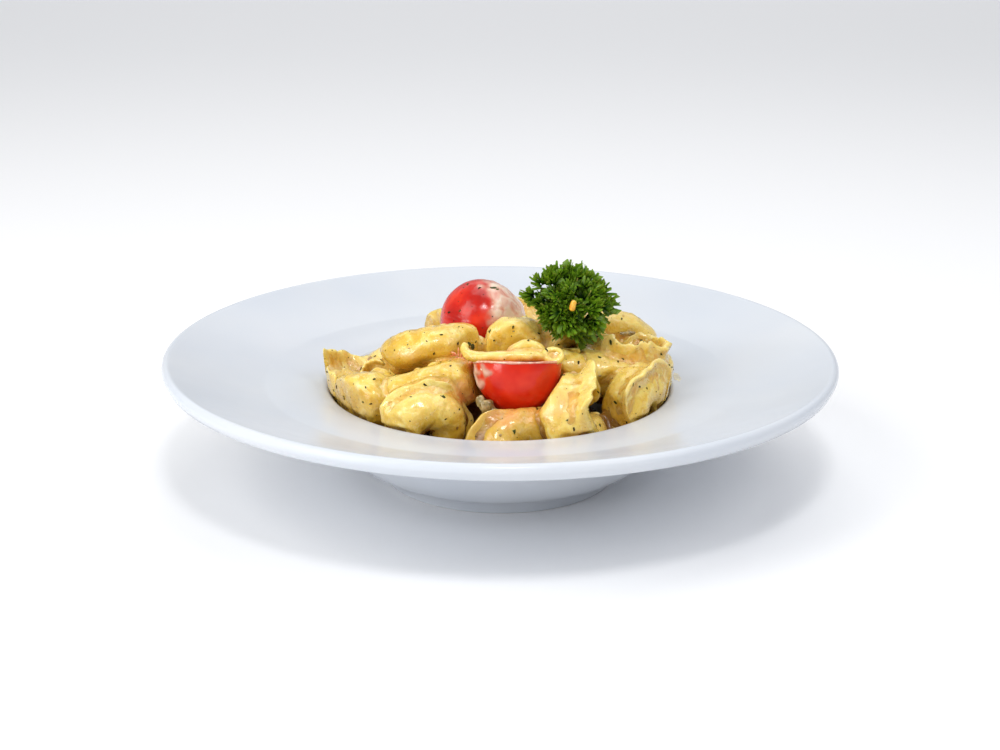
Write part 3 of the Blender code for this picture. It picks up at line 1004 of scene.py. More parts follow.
@dataclass(frozen=True)
class Tortellino:
    """One tortellino: front is where its fattest part points, and crown where its ring's axis points.

    belly, flange and width stretch the filled roll, the pinched edge and the ring across its front. lean turns
    the flange from level towards the crown, and ripple is its wave, both in degrees. phase shifts the wave.
    give is how much it yields where it meets another piece, frill is how scalloped its edge is, and cream is how
    much sauce clings to its upper side. cream also paints light and shade: a high value paints the whole piece
    lighter and a low one darker.
    """

    name: str
    centre: tuple
    front: tuple
    crown: tuple
    scale: float = 1.0
    belly: float = 1.0
    flange: float = 1.0
    width: float = 1.0
    lean: float = 50.0
    ripple: float = 14.0
    phase: float = 0.0
    give: float = 1.0
    frill: float = 1.0
    cream: float = 0.6

    @property
    def node(self) -> str:
        """The CAD node's name."""
        return "tortellino_" + self.name

    def ring(self, detail: Detail) -> tuple[np.ndarray, np.ndarray]:
        """Sweeps the section round the ring's axis.

        Args:
            detail: How finely to cut it.

        Returns:
            Points by station and section point, and how thin the dough is at each, from 0 to 1.
        """
        turn = RING_HALF_TURN
        angle = np.linspace(-turn - detail.end, turn + detail.end, detail.stations)[:, None]
        past = np.clip((np.abs(angle) - turn) / max(detail.end, 1e-6), 0, 0.999)
        ending = np.sqrt(1 - past**2) if detail.end else np.ones_like(angle)
        share = np.minimum(np.abs(angle) / turn, 1)
        fade = np.sqrt(np.maximum(0, 1 - share**2.2))
        belly = BELLY_RADIUS * self.belly * (BELLY_END_SHARE + (1 - BELLY_END_SHARE) * fade) * ending
        length = FLANGE_LENGTH * self.flange * (FLANGE_END_SHARE + (1 - FLANGE_END_SHARE) * fade) * ending
        length = length * (1 + 0.12 * np.sin(5 * angle + self.phase))
        half = FLANGE_THICKNESS / 2 * ending
        columns, thin = self.section(detail, belly, length, half)
        along = np.concatenate([column[0] for column in columns], axis=1)
        across = np.concatenate([column[1] for column in columns], axis=1)
        outer = np.clip((along - belly) / np.maximum(length, 1e-6), 0, 1)
        if detail.end:
            frill = self.frill * np.sin(13 * angle + 3 * self.phase + np.sin(4 * angle + self.phase))
            across = across + 0.10 * length * frill * outer**1.5
            along = along + 0.05 * length * np.sin(17 * angle + self.phase) * self.frill * outer**2
        bend = math.radians(self.lean) + math.radians(self.ripple) * np.sin(4 * angle + 2 * self.phase) * (
            np.maximum(0, along - 0.5 * belly) / np.maximum(belly + length, 1e-6)
        )
        outwards = along * np.cos(bend) - across * np.sin(bend)
        up = along * np.sin(bend) + across * np.cos(bend) + 1.6 * np.clip(angle / turn, -1, 1)
        radius = RING_RADIUS + outwards
        swept = np.stack([radius * np.cos(angle), radius * np.sin(angle), up + 0 * angle], axis=-1)
        return swept, np.repeat(thin[None, :], detail.stations, axis=0)

    @staticmethod
    def section(detail: Detail, belly: np.ndarray, length: np.ndarray, half: np.ndarray) -> tuple:
        """The ring's section as columns of (along, across) offsets, each with one row a station.

        Args:
            detail: How finely to cut it.
            belly: The filled roll's radius at each station.
            length: The flange's length at each station.
            half: Half the flange's thickness at each station.

        Returns:
            The columns, and how thin the dough is at each point of the section.
        """
        sides = np.radians(np.linspace(52, 308, detail.belly_points))[None, :]
        root = belly + 0.12 * length
        start = (belly * math.cos(math.radians(52)), belly * math.sin(math.radians(52)))
        blends = []
        for k in range(1, detail.blend + 1):
            t = k / (detail.blend + 1)
            weights = ((1 - t) ** 3, 3 * t * (1 - t) ** 2, 3 * t * t * (1 - t), t**3)
            alongs = (start[0], start[0] + 0.30 * belly, root - 0.28 * belly, root)
            heights = (start[1], start[1] - 0.22 * belly, 1.75 * half, 1.5 * half)
            blends.append(tuple(sum(w * value for w, value in zip(weights, line)) for line in (alongs, heights)))
        lower = [(a, -h) for a, h in blends]
        lower += [(belly + s * length, -thick * half) for s, thick in detail.flange]
        tip = [(belly + length, 0 * length)]
        upper = [(a, -h) for a, h in lower[::-1]]
        columns = [(belly * np.cos(sides), belly * np.sin(sides))] + lower + tip + upper
        edge = [0.0] * len(blends) + [s for s, _ in detail.flange]
        thin = np.array([0.0] * detail.belly_points + edge + [1.0] + edge[::-1])
        return columns, thin

    def shape(self, detail: Detail) -> tuple[np.ndarray, list, np.ndarray]:
        """The dough ring in place, before it is squeezed.

        Args:
            detail: How finely to cut it.

        Returns:
            Points in millimetres, faces, and the thinness of the dough at each point.
        """
        swept, thin = self.ring(detail)
        stations, count = swept.shape[:2]
        plain = self.ring(COARSE)[0].reshape(-1, 3)
        local = swept.reshape(-1, 3) - (plain.max(axis=0) + plain.min(axis=0)) / 2
        local[:, 1] *= self.width
        crown = unit(self.crown)
        side = unit(np.cross(crown, unit(self.front)))
        turned = np.stack([np.cross(side, crown), side, crown])
        ends = [tuple(range(count)), tuple(reversed(range((stations - 1) * count, stations * count)))]
        points = np.array(self.centre, float) + self.scale * local @ turned
        return points, ends + ring_quads(stations, count), thin.ravel()


@dataclass(frozen=True)
class TomatoShape:
    """A cherry tomato: axis points at its stem end, and cut is how far along it the fruit is kept, or None."""

    node: str
    centre: tuple
    axis: tuple
    radius: float = 17.0
    length_share: float = 1.0
    cut: float | None = None

    def turned(self) -> np.ndarray:
        """How the fruit lies.

        Returns:
            The rows that turn its own axes into the frame's.
        """
        axis = unit(self.axis)
        side = unit(np.cross(axis, (1, 0, 0.1)))
        return np.stack([np.cross(side, axis), side, axis])

    def coarse(self) -> np.ndarray:
        """The CAD node's own form.

        Returns:
            Its points in millimetres.
        """
        ball = bmesh.new()
        bmesh.ops.create_uvsphere(ball, u_segments=16, v_segments=8, radius=self.radius)
        if self.cut is not None:
            bmesh.ops.bisect_plane(
                ball, geom=ball.verts[:] + ball.edges[:] + ball.faces[:],
                plane_co=(0, 0, self.cut), plane_no=(0, 0, 1), clear_outer=True,
            )
        local = np.array([vert.co[:] for vert in ball.verts])
        ball.free()
        local[:, 2] *= self.length_share
        return np.array(self.centre, float) + local @ self.turned()


@dataclass(frozen=True)
class SprigShape:
    """The sprig's outer form: a dome with lobes of leaflets, drawn in below towards its stem."""

    node: str = "parsley_sprig"
    centre: tuple = (28, -15, 76.5)
    radii: tuple = (19.5, 17.0, 18.5)
    give: float = 3.0
    lobes: int = 7
    tiers: int = 7
    lobe_depth: float = 0.09
    taper: float = 0.6

    def shape(self, subdivisions: int) -> tuple[np.ndarray, list]:
        """The form.

        Args:
            subdivisions: How finely to cut it.

        Returns:
            Points in millimetres and faces.
        """
        local, faces = unit_ball(subdivisions)
        turn = np.arctan2(local[:, 1], local[:, 0])
        rise = np.arcsin(np.clip(local[:, 2], -1, 1))
        bulge = np.cos(self.lobes * turn + 4 * rise) * np.cos(rise) + np.cos(self.tiers * rise)
        local *= 1 + self.lobe_depth * bulge[:, None]
        local[:, :2] *= 1 + self.taper * np.minimum(local[:, 2:], 0)
        return np.array(self.centre, float) + local * np.array(self.radii), faces


@dataclass
class Packing:
    """The planes that part the pieces of the heap, found on their coarse points.

    pieces maps each node's name to (coarse points, centre, give).
    """

    pieces: dict[str, tuple[np.ndarray, np.ndarray, float]]
    clearance: tuple[np.ndarray, np.ndarray]
    planes: dict[str, list] = field(default_factory=dict)

    def __post_init__(self) -> None:
        """Finds, for each pair of pieces, the plane that asks for the least squeezing."""
        steps = np.arange(PLANE_DIRECTIONS) + 0.5
        height = 1 - 2 * steps / PLANE_DIRECTIONS
        turn = math.pi * (1 + math.sqrt(5)) * steps
        level = np.sqrt(1 - height**2)
        directions = np.stack([level * np.cos(turn), level * np.sin(turn), height], axis=1)
        names = list(self.pieces)
        self.planes = {name: [] for name in names}
        forward = {n: ((p - c) @ directions.T).max(axis=0) for n, (p, c, _) in self.pieces.items()}
        backward = {n: ((c - p) @ directions.T).max(axis=0) for n, (p, c, _) in self.pieces.items()}
        for first, second in itertools.combinations(names, 2):
            sizes = forward[first] + backward[second]
            overlaps = sizes + GAP - directions @ (self.pieces[second][1] - self.pieces[first][1])
            least = (overlaps / sizes).argmin()
            given = self.pieces[first][2] + self.pieces[second][2]
            if overlaps[least] > 0 and given > 0:
                share = self.pieces[first][2] / given
                normal = directions[least]
                self.planes[first].append((normal, forward[first][least] - overlaps[least] * share))
                self.planes[second].append((-normal, backward[second][least] - overlaps[least] * (1 - share)))

    def squeezed(self, name: str, points: np.ndarray) -> np.ndarray:
        """Draws a piece's points towards its centre, inside its planes and off the plate.

        Args:
            name: The piece's node name.
            points: Its points in millimetres, coarse or fine.

        Returns:
            The squeezed points.
        """
        centre = self.pieces[name][1]
        offset = points - centre
        reach = np.linalg.norm(offset, axis=1)
        direction = offset / reach[:, None]
        limit = np.full(len(offset), np.inf)
        for normal, distance in self.planes[name]:
            towards = direction @ normal
            hits = towards > 1e-6
            limit[hits] = np.minimum(limit[hits], distance / towards[hits])
        steps = np.linspace(0, 1.7, 120)
        path = centre + offset[:, None, :] * steps[None, :, None]
        floor = np.interp(np.hypot(path[..., 0], path[..., 1]), *self.clearance)
        blocked = path[..., 2] < floor
        first = np.where(blocked.any(axis=1), steps[np.maximum(blocked.argmax(axis=1) - 1, 0)], np.inf)
        limit = np.minimum(limit, first * reach)
        bounded = np.isfinite(limit) & (reach > SOFT_START * limit)
        start = SOFT_START * limit[bounded]
        room = limit[bounded] - start
        past = (reach[bounded] - start) / room
        reach[bounded] = start + room * past / (1 + past)
        return centre + direction * reach[:, None]


# Each piece's cream is partly sauce and partly painted light and shade: a high value paints it lighter, and a low
# one, down to below zero, paints it darker.
TORTELLINI = (
    # The ring of pieces along the front edge of the well, from left to right.
    Tortellino("left_open", (-63.5, -8, 41), (-0.8, -0.6, 0.1), (0.25, -0.25, 1),
        scale=1.12, belly=0.85, flange=1.15, lean=62, ripple=16, phase=0.4, give=0.8, cream=0.8),
    Tortellino("left_pillow", (-49, -32, 43), (-0.2, -0.9, 0.3), (0.1, 0.5, 1),
        scale=1.17, belly=1.25, flange=0.3, width=1.1, lean=110, ripple=8, phase=2.4,
        give=0.6, frill=0.2, cream=0.15),
    Tortellino("front_left", (-31, -52, 39), (-0.35, -0.1, 1), (0.3, -1, 0),
        scale=0.98, belly=1.12, flange=0.65, width=1.1, lean=-15, phase=2.1, give=0.6, cream=0.85),
    Tortellino("front_low", (5.5, -56, 31.5), (-0.5, -0.2, 0.85), (0.35, -0.9, 0.3),
        scale=1.1, belly=1.1, flange=0.5, width=1.15, lean=5, phase=0.9, cream=-0.6),
    Tortellino("front_peak", (32, -50, 40), (-0.1, -0.9, 0.1), (0.9, -0.3, 0.3),
        scale=1.15, belly=1.25, flange=1.2, lean=60, phase=2.8, give=0.5, cream=0.8),
    Tortellino("front_right", (56, -31, 39.5), (-0.3, -0.6, 0.8), (0.8, -0.7, 0.2),
        scale=1.17, belly=1.05, flange=0.6, width=1.05, lean=40, ripple=12, phase=1.7, give=0.5, cream=0.5),
    Tortellino("right_edge", (62, 3, 35), (0.9, 0.1, 0.2), (-0.2, 0.2, 1),
        scale=1.1, belly=0.95, flange=0.8, lean=40, ripple=8, phase=0.2),
    # The ring along the back edge, seen from behind.
    Tortellino("back_right", (47, 34, 38.5), (0.7, 0.6, 0.3), (-0.4, -0.2, 1),
        scale=1.2, width=1.1, lean=55, phase=1.1),
    Tortellino("back_mid_right", (21, 55, 38), (0.2, 0.9, 0.5), (0.3, -0.5, 0.9),
        scale=1.2, belly=1.05, lean=40, ripple=16, phase=2.4),
    Tortellino("back_mid_left", (-12, 56, 37), (-0.3, 0.5, 0.9), (0.4, 0.9, -0.2),
        scale=1.2, width=1.1, lean=25, phase=0.5),
    Tortellino("back_left", (-43, 41, 32), (-0.6, 0.7, 0.2), (0.2, -0.1, 1),
        scale=1.12, flange=0.5, width=1.1, lean=10, phase=1.9),
    Tortellino("left_back", (-58, 22, 32), (-0.9, 0.2, 0.2), (0.3, 0.1, 1),
        scale=1.1, belly=1.05, flange=0.4, lean=20, ripple=10, phase=2.9),
    # The second ring, which lies on the first.
    Tortellino("left_inner", (-49, -14, 45), (0.5, 0.8, 0.2), (-0.3, -0.5, 1),
        scale=0.92, belly=0.75, flange=0.7, lean=100, ripple=6, phase=0.7, frill=0.4),
    Tortellino("mid_long", (-27, -33, 48.5), (0.3, -0.9, 0.1), (-0.2, 0.2, 1),
        scale=1.15, belly=1.12, flange=0.3, width=1.35, lean=130, ripple=8, phase=1.5,
        give=0.8, frill=0.2, cream=0.1),
    Tortellino("upper_left", (-27, -10, 58), (0.1, -0.9, 0.3), (-0.1, 0.3, 0.9),
        scale=1.15, belly=1.08, flange=0.3, width=1.2, lean=130, ripple=8, phase=2.6,
        give=0.6, frill=0.2, cream=0.1),
    Tortellino("right_wavy", (52, -10, 52), (0.3, -0.95, 0), (0.3, -0.1, 1),
        scale=1.1, belly=1.15, flange=0.9, width=1.4, lean=88, ripple=8, phase=0.3, give=0.6, frill=1.3, cream=1),
    Tortellino("right_upper", (43.5, 16, 55), (0.2, -0.8, 0.4), (0.2, 0.5, 0.9),
        scale=1.15, belly=1.35, flange=0.3, width=1.2, lean=125, ripple=10, phase=1.2,
        give=0.6, frill=0.2, cream=0.8),
    Tortellino("back_upper_left", (-21, 36, 47), (-0.4, 0.3, 0.9), (0.8, 0.5, 0.2),
        scale=1.05, belly=1.05, flange=0.8, lean=60, ripple=12, phase=2),
    Tortellino("back_upper", (3, 41, 49), (0.1, 0.8, 0.6), (0.1, -0.5, 0.8),
        scale=1.12, flange=0.6, width=1.1, lean=50, phase=0.8),
    Tortellino("back_upper_right", (27, 33, 49), (0.5, 0.5, 0.8), (-0.6, 0.7, 0.3),
        scale=1.15, belly=1.05, flange=0.4, lean=20, phase=1.6),
    # The top of the heap.
    Tortellino("top_flap", (5, -26, 61), (0.1, -1, 0.15), (0, 0.2, 1),
        scale=1.12, belly=0.45, flange=0.3, width=1.35, lean=30, phase=2.2, give=0.5, frill=0.5),
    Tortellino("top_belly", (6, -7, 60.5), (0, -0.9, 0.5), (0.1, 0.3, 0.9),
        belly=1.4, flange=0.3, width=0.85, lean=120, ripple=10, phase=0.1, give=0.35, frill=0.2, cream=1),
    Tortellino("top_right", (20.5, -1, 60.5), (0.5, -0.8, 0.3), (-0.7, 0.2, 0.7),
        scale=1.05, belly=1.15, flange=0.6, lean=60, ripple=12, phase=1.4, cream=0.3),
    Tortellino("under_sprig", (30, -18, 53.5), (0.1, -0.9, 0.3), (0.3, 0.2, 0.9),
        scale=0.87, belly=1.1, flange=0.3, lean=110, ripple=8, phase=2.7, frill=0.2, cream=0.4),
)

TOMATO_BACK = TomatoShape("tomato_back", (-7.5, 14, 62.5), (0.55, 0.5, 0.65), 18.2, 0.97)
TOMATO_HALF = TomatoShape("tomato_half_front", (7, -37, 60), (0.0, 0.305, 0.952), 17.6, 1.16, 0.0)
TOMATO_HIDDEN = TomatoShape("tomato_hidden_left", (-31, 24, 43.5), (-0.3, 0.6, 0.7), 12.5, 1.0)
SPRIG = SprigShape()


def heap_packing(plate: Plate) -> Packing:
    """The packing of the whole heap, in the CAD's own order.

    Args:
        plate: The plate that the heap lies in.

    Returns:
        The packing.
    """
    pieces = {}
    for spec in TORTELLINI:
        pieces[spec.node] = (spec.shape(COARSE)[0], np.array(spec.centre, float), spec.give)
    for spec in (TOMATO_BACK, TOMATO_HALF, TOMATO_HIDDEN):
        points = spec.coarse()
        pieces[spec.node] = (points, points.mean(axis=0), 0.0)
    pieces[SPRIG.node] = (SPRIG.shape(3)[0], np.array(SPRIG.centre, float), SPRIG.give)
    return Packing(pieces, plate.clearance())


@dataclass
class Dough:
    """All the tortellini, each a fine mesh with lumps of filling, gathered creases and a frilled edge."""

    packing: Packing
    lump: float = 0.75
    fold: float = 0.55
    pieces: list[Object] = field(default_factory=list)

    def sculpt(self, mesh: Mesh, thin: np.ndarray, seed: float) -> None:
        """Moves the dough in and out along its normals.

        Args:
            mesh: The squeezed ring.
            thin: How thin the dough is at each vertex.
            seed: The piece's own number.
        """
        points = vertex_array(mesh) / MM
        body = 1 - smoothstep(thin, 0.0, 0.35)
        lumps = noise_at(points, 8.0, seed)
        folds = 1 - 2 * np.abs(noise_at(points * (1, 1, 0.6), 6.0, seed + 2))
        dimples = noise_at(points, 3.0, seed + 5)
        shift = self.lump * lumps * body
        shift -= self.fold * np.clip(folds - 0.45, 0, 1) * (0.35 + 0.65 * body)
        shift += 0.16 * dimples * (0.4 + 0.6 * body)
        push_out(mesh, shift)

    def build(self) -> list[Object]:
        """Makes every tortellino and dresses it.

        Returns:
            The pieces, in the table's order.
        """
        material = SaucedDough().build()
        for number, spec in enumerate(TORTELLINI):
            if spec.name == "top_flap":
                self.pieces += FoldedFlap(TOMATO_HALF).build(material)
                continue
            points, faces, thin = spec.shape(FINE)
            points = self.packing.squeezed(spec.node, points)
            piece = add_mesh("dough_" + spec.name, points, faces, [material])
            self.sculpt(piece.data, thin, number * 1.7)
            mark_dough(piece.data, thin, spec.cream)
            self.pieces.append(placed(piece, Slot.PASTA, spec.node))
        return self.pieces


@dataclass(frozen=True)
class Roll:
    """A soft roll of dough along a route, with its radius at each point of the route."""

    route: tuple
    radii: tuple
    closed: bool = False

    def swept(self, steps: int = 60, around: int = 18) -> tuple[np.ndarray, list]:
        """The roll's points in millimetres and its faces, with rounded ends.

        Args:
            steps: Stations along it.
            around: Points round it.

        Returns:
            Points and faces.
        """
        route, radii = np.array(self.route, float), np.array(self.radii, float)
        count = len(route)
        at = np.linspace(0, count if self.closed else count - 1, steps, endpoint=not self.closed)
        low = np.floor(at).astype(int) if self.closed else np.minimum(np.floor(at).astype(int), count - 2)
        share = at - low
        near = [(low + k) % count if self.closed else np.clip(low + k, 0, count - 1) for k in (-1, 0, 1, 2)]
        t = share[:, None]
        a, b, c, d = (route[picked] for picked in near)
        line = 0.5 * (2 * b + (c - a) * t + (2 * a - 5 * b + 4 * c - d) * t**2 + (3 * b - a - 3 * c + d) * t**3)
        size = radii[near[1]] * (1 - share) + radii[near[2]] * share
        ahead = np.roll(line, -1, axis=0) - np.roll(line, 1, axis=0)
        if not self.closed:
            ahead[0], ahead[-1] = line[1] - line[0], line[-1] - line[-2]
            step = np.linalg.norm(np.diff(line, axis=0), axis=1).mean()
            run = np.minimum(np.arange(steps), np.arange(steps)[::-1]) * step
            size = size * np.sqrt(np.clip(1 - (1 - np.minimum(run / size, 1)) ** 2, 0.02, 1))
        points, up = [], np.array((0.03, 0.9, 0.4))
        turns = np.linspace(0, 2 * math.pi, around, endpoint=False)[:, None]
        for place, way, radius in zip(line, ahead, size):
            side = unit(np.cross(way, up))
            up = unit(np.cross(side, way))
            points += (place + radius * (np.cos(turns) * side + np.sin(turns) * up)).tolist()
        last = (steps - 1) * around
        ends = [] if self.closed else [tuple(range(around))[::-1], tuple(range(last, last + around))]
        return np.array(points), ends + ring_quads(steps, around, self.closed)


def ellipsoid(centre: tuple, radii: tuple) -> tuple[np.ndarray, list]:
    """A ball stretched to its radii, in millimetres."""
    local, faces = unit_ball(4)
    return np.array(centre, float) + local * np.array(radii), faces


def melt_together(piece: Object, voxel: float, melt: int) -> None:
    """Turns a piece's overlapping parts into one soft skin.

    Args:
        piece: The piece, in the scene.
        voxel: The remesh's step in millimetres.
        melt: How many times the skin is smoothed.
    """
    skin = piece.modifiers.new("melt", "REMESH")
    skin.mode = "VOXEL"
    skin.voxel_size = voxel * MM
    mesh = final_mesh(piece)
    piece.modifiers.clear()
    piece.data = mesh
    places = vertex_array(mesh)
    for _ in range(melt):
        places = 0.5 * places + 0.5 * neighbour_mean(mesh, places)
    move_vertices(mesh, places)
    mesh.shade_smooth()


# The flap on the half tomato, in the cut face's own frame: across, away from the front, and up from the face.
FLAP_EDGE = Roll(
    ((-20.5, -2, 8.0), (-21, -3, 5.2), (-18.5, -5, 3.0), (-12, -7, 2.3), (-3, -8, 2.5), (5, -8, 2.7),
     (10.5, -6.5, 2.3)),
    (1.3, 1.9, 2.3, 2.3, 2.4, 2.3, 1.9),
)
FLAP_ARCH = Roll(
    ((-4.0, -2.0, 3.0), (-1.2, -3.0, 5.8), (3.6, -3.5, 7.6), (8.2, -3.5, 6.2), (11.0, -3.0, 2.4)),
    (1.6, 2.0, 2.2, 2.0, 1.6),
)
FLAP_CURL = Roll(
    tuple(
        (14 + 3.2 * math.cos(t), -6.5 + 0.8 * math.sin(t), 3.1 + 2.3 * math.sin(t))
        for t in np.linspace(0, 5.5, 8)
    ),
    (1.5,) * 8, True,
)
FLAP_BODY = (
    ((-2, 3, 1.8), (16.5, 10, 3.4)), ((3.6, -1.4, 3.4), (6.6, 3.0, 4.8)), ((13.8, -4.4, 2.6), (3.8, 2.6, 2.6)),
)
# The ridge of cream along the front of its cut edge, 17.45 mm from the middle.
CREAM_LINE = Roll(
    tuple(
        (17.45 * math.cos(t), -17.45 * math.sin(t), 0.25 + 0.25 * math.sin(3 * t))
        for t in np.linspace(-0.2, 3.4, 14)
    ),
    (0.25, 0.4, 0.5, 0.45, 0.5, 0.35, 0.5, 0.6, 0.4, 0.5, 0.45, 0.6, 0.5, 0.3),
)
CORNER_TIP = Roll(((-10.5, -7, 56), (-9.0, -11, 60.5), (-8.2, -13, 62.8)), (3.4, 3.0, 2.2))


@dataclass
class FoldedFlap:
    """The flap of dough on the half tomato: a rolled front edge, an arched fold and a curl at its right end."""

    face: TomatoShape
    voxel: float = 0.34
    melt: int = 5
    thinness: float = 0.45
    # cream also paints the flap lighter on top and darker below, as painted light and shade.
    cream: float = 0.7

    def seated(self, points: np.ndarray) -> np.ndarray:
        """Brings points from the cut face's frame to the frame of the part.

        Args:
            points: Points in millimetres, one a row.

        Returns:
            The same points in the part's frame.
        """
        up = unit(self.face.axis)
        back = unit(np.cross(up, (1, 0, 0)))
        return np.array(self.face.centre, float) + points @ np.stack([(1, 0, 0), back, up])

    def cast(self, name: str, parts: list[tuple], material: Material, *nodes: str) -> Object:
        """Melts parts into one lumpy piece of dough.

        Args:
            name: The piece's name.
            parts: Points in millimetres and faces of each part.
            material: The dough.
            nodes: The CAD nodes that it stands for.

        Returns:
            The piece.
        """
        whole = Gathered()
        for points, faces in parts:
            whole.add(points, faces)
        piece = add_mesh(name, whole.points, whole.faces, [])
        melt_together(piece, self.voxel, self.melt)
        piece.data.materials.append(material)
        points = vertex_array(piece.data) / MM
        push_out(piece.data, 0.32 * noise_at(points, 4.5, 3.0) + 0.12 * noise_at(points, 1.8, 6.0))
        mark_dough(piece.data, np.full(len(points), self.thinness), self.cream, 4)
        return placed(piece, Slot.PASTA, *nodes)

    def build(self, material: Material) -> list[Object]:
        """Casts the flap, and the corner of dough that stands behind it.

        Args:
            material: The dough.

        Returns:
            The two pieces.
        """
        parts = [roll.swept() for roll in (FLAP_EDGE, FLAP_ARCH, FLAP_CURL)]
        parts += [ellipsoid(*body) for body in FLAP_BODY]
        seated = [(self.seated(points), faces) for points, faces in parts]
        return [
            self.cast("dough_top_flap", seated, material, "tortellino_top_flap"),
            self.cast("dough_corner_tip", [CORNER_TIP.swept()], material),
        ]


@dataclass
class SauceBed:
    """The cream sauce in the creases between the pieces and under them: the heap's own surface, melted.

    Smoothing draws its ridges in under the dough and lifts its valleys, so that it shows only in the folds. Its
    finish is painted darker, as shade, from bright_z down to dark_z, which lie lower by fall at the edge of the
    heap.
    """

    dough: list[Object]
    voxel: float = 1.15
    melt: int = 9
    dark_z: float = 30.0
    bright_z: float = 52.0
    fall: float = 6.0

    def build(self) -> Object:
        """Joins the dough and the heap's core, melts them and dresses the sauce.

        Returns:
            The sauce.
        """
        bed = show(joined_copy("cream_sauce", [*self.dough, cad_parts["heap_core"]]))
        melt_together(bed, self.voxel, self.melt)
        mesh = bed.data
        points = vertex_array(mesh) / MM
        push_out(mesh, 0.35 * noise_at(points, 5.0, 9.0) + 0.15 * noise_at(points, 2.0, 3.0) - 0.15)
        mesh.materials.clear()
        mesh.materials.append(CreamSauce().build())
        mark(mesh, "blush", blush_at(points))
        # Painted shade: the sauce is painted darker the lower it lies in the heap.
        heights = points[:, 2] - self.fall * (1 - np.hypot(points[:, 0], points[:, 1]) / HEAP_RADIUS)
        mark(mesh, "depth", 1 - smoothstep(heights, self.dark_z, self.bright_z))
        return placed(bed, Slot.SAUCE, "heap_core")


# Tomatoes.


@dataclass
class Tomato:
    """A cherry tomato with taut skin and a film of cream.

    film holds (direction, level, softness) for each patch of cream, and wrinkle, if there is one, holds its
    direction, and the length, reach and depth of its ridges in millimetres.
    """

    spec: TomatoShape
    film: tuple
    skin: Material
    cream: Material
    around: int = 112
    along: int = 72
    wrinkle: tuple | None = None

    def directions(self) -> np.ndarray:
        """Unit vectors over the skin in rings, stem end first.

        Returns:
            By ring and by point in it.
        """
        tilt = np.linspace(0.0 if self.spec.cut is None else math.pi / 2, math.pi, self.along)[:, None]
        turn = np.linspace(0, 2 * math.pi, self.around, endpoint=False)
        level = np.sin(tilt)
        return np.stack([level * np.cos(turn), level * np.sin(turn), np.cos(tilt) + 0 * turn], axis=-1)

    def surface(self) -> tuple[np.ndarray, np.ndarray, list]:
        """The skin, with its dents, its slight lobes and its wrinkle.

        Returns:
            Points in millimetres, outward directions in the frame, and faces.
        """
        grid = self.directions()
        local = grid.reshape(-1, 3)
        turn = np.arctan2(local[:, 1], local[:, 0])
        level = local[:, 2]
        swell = 1 + 0.012 * np.cos(5 * turn) * np.sqrt(np.clip(1 - level**2, 0, 1)) * (0.5 + 0.5 * level)
        dent = -0.02 * np.exp(-((1 + level) / 0.006))
        if self.spec.cut is None:
            dent -= 0.10 * np.exp(-((1 - level) / 0.03))
        sized = local * (self.spec.radius * (swell + dent))[:, None] * np.array((1, 1, self.spec.length_share))
        turned = self.spec.turned()
        points = np.array(self.spec.centre, float) + sized @ turned
        outward = local @ turned
        points += outward * (0.22 * noise_at(points, 11.0, 2.0))[:, None]
        if self.wrinkle:
            towards, wave, reach, depth = self.wrinkle
            near = np.exp(-((np.arccos(np.clip(outward @ unit(towards), -1, 1)) * self.spec.radius / reach) ** 2))
            along = points @ unit((0.25, 0.2, 1.0))
            ridges = np.sin(2 * math.pi * along / wave + 1.3 * noise_at(points, 6.0, 8.0))
            points += outward * (depth * near * ridges)[:, None]
        return points, outward, ring_quads(self.along, self.around)

    def film_at(self, points: np.ndarray, outward: np.ndarray) -> np.ndarray:
        """How thick the cream lies.

        Args:
            points: Points on the skin, in millimetres.
            outward: The way the skin faces at each.

        Returns:
            A number from 0 to 1 for each point.
        """
        total = np.zeros(len(points))
        rough = 0.24 * noise_at(points, 9.0, 6.0) + 0.12 * noise_at(points, 3.5, 1.0)
        for towards, level, softness in self.film:
            total = np.maximum(total, smoothstep(outward @ unit(towards) + rough, level, level + softness))
        return total

    def build(self) -> Object:
        """Makes the skin, and the film as a second thin layer that stands proud where it is thick.

        Returns:
            The skin.
        """
        points, outward, faces = self.surface()
        if self.spec.cut is not None:
            faces.append(tuple(range(self.around)))
        piece = add_mesh(self.spec.node + "_skin", points, faces, [self.skin])
        bpy.context.view_layer.update()
        thick = self.film_at(points, outward)
        mark(piece.data, "film", thick)
        lifted = points + outward * (0.75 * thick * (0.75 + 0.5 * noise_at(points, 4.0, 7.0)) - 0.18)[:, None]
        kept = [face for face in faces if len(face) == 4 and max(thick[list(face)]) > 0.2]
        if kept:
            used = sorted({corner for face in kept for corner in face})
            number = {old: new for new, old in enumerate(used)}
            links = [tuple(number[corner] for corner in face) for face in kept]
            coat = add_mesh(self.spec.node + "_cream", lifted[used], links, [self.cream])
            mark(coat.data, "film", thick[used])
            placed(coat, Slot.SAUCE)
        return placed(piece, Slot.TOMATO, self.spec.node)


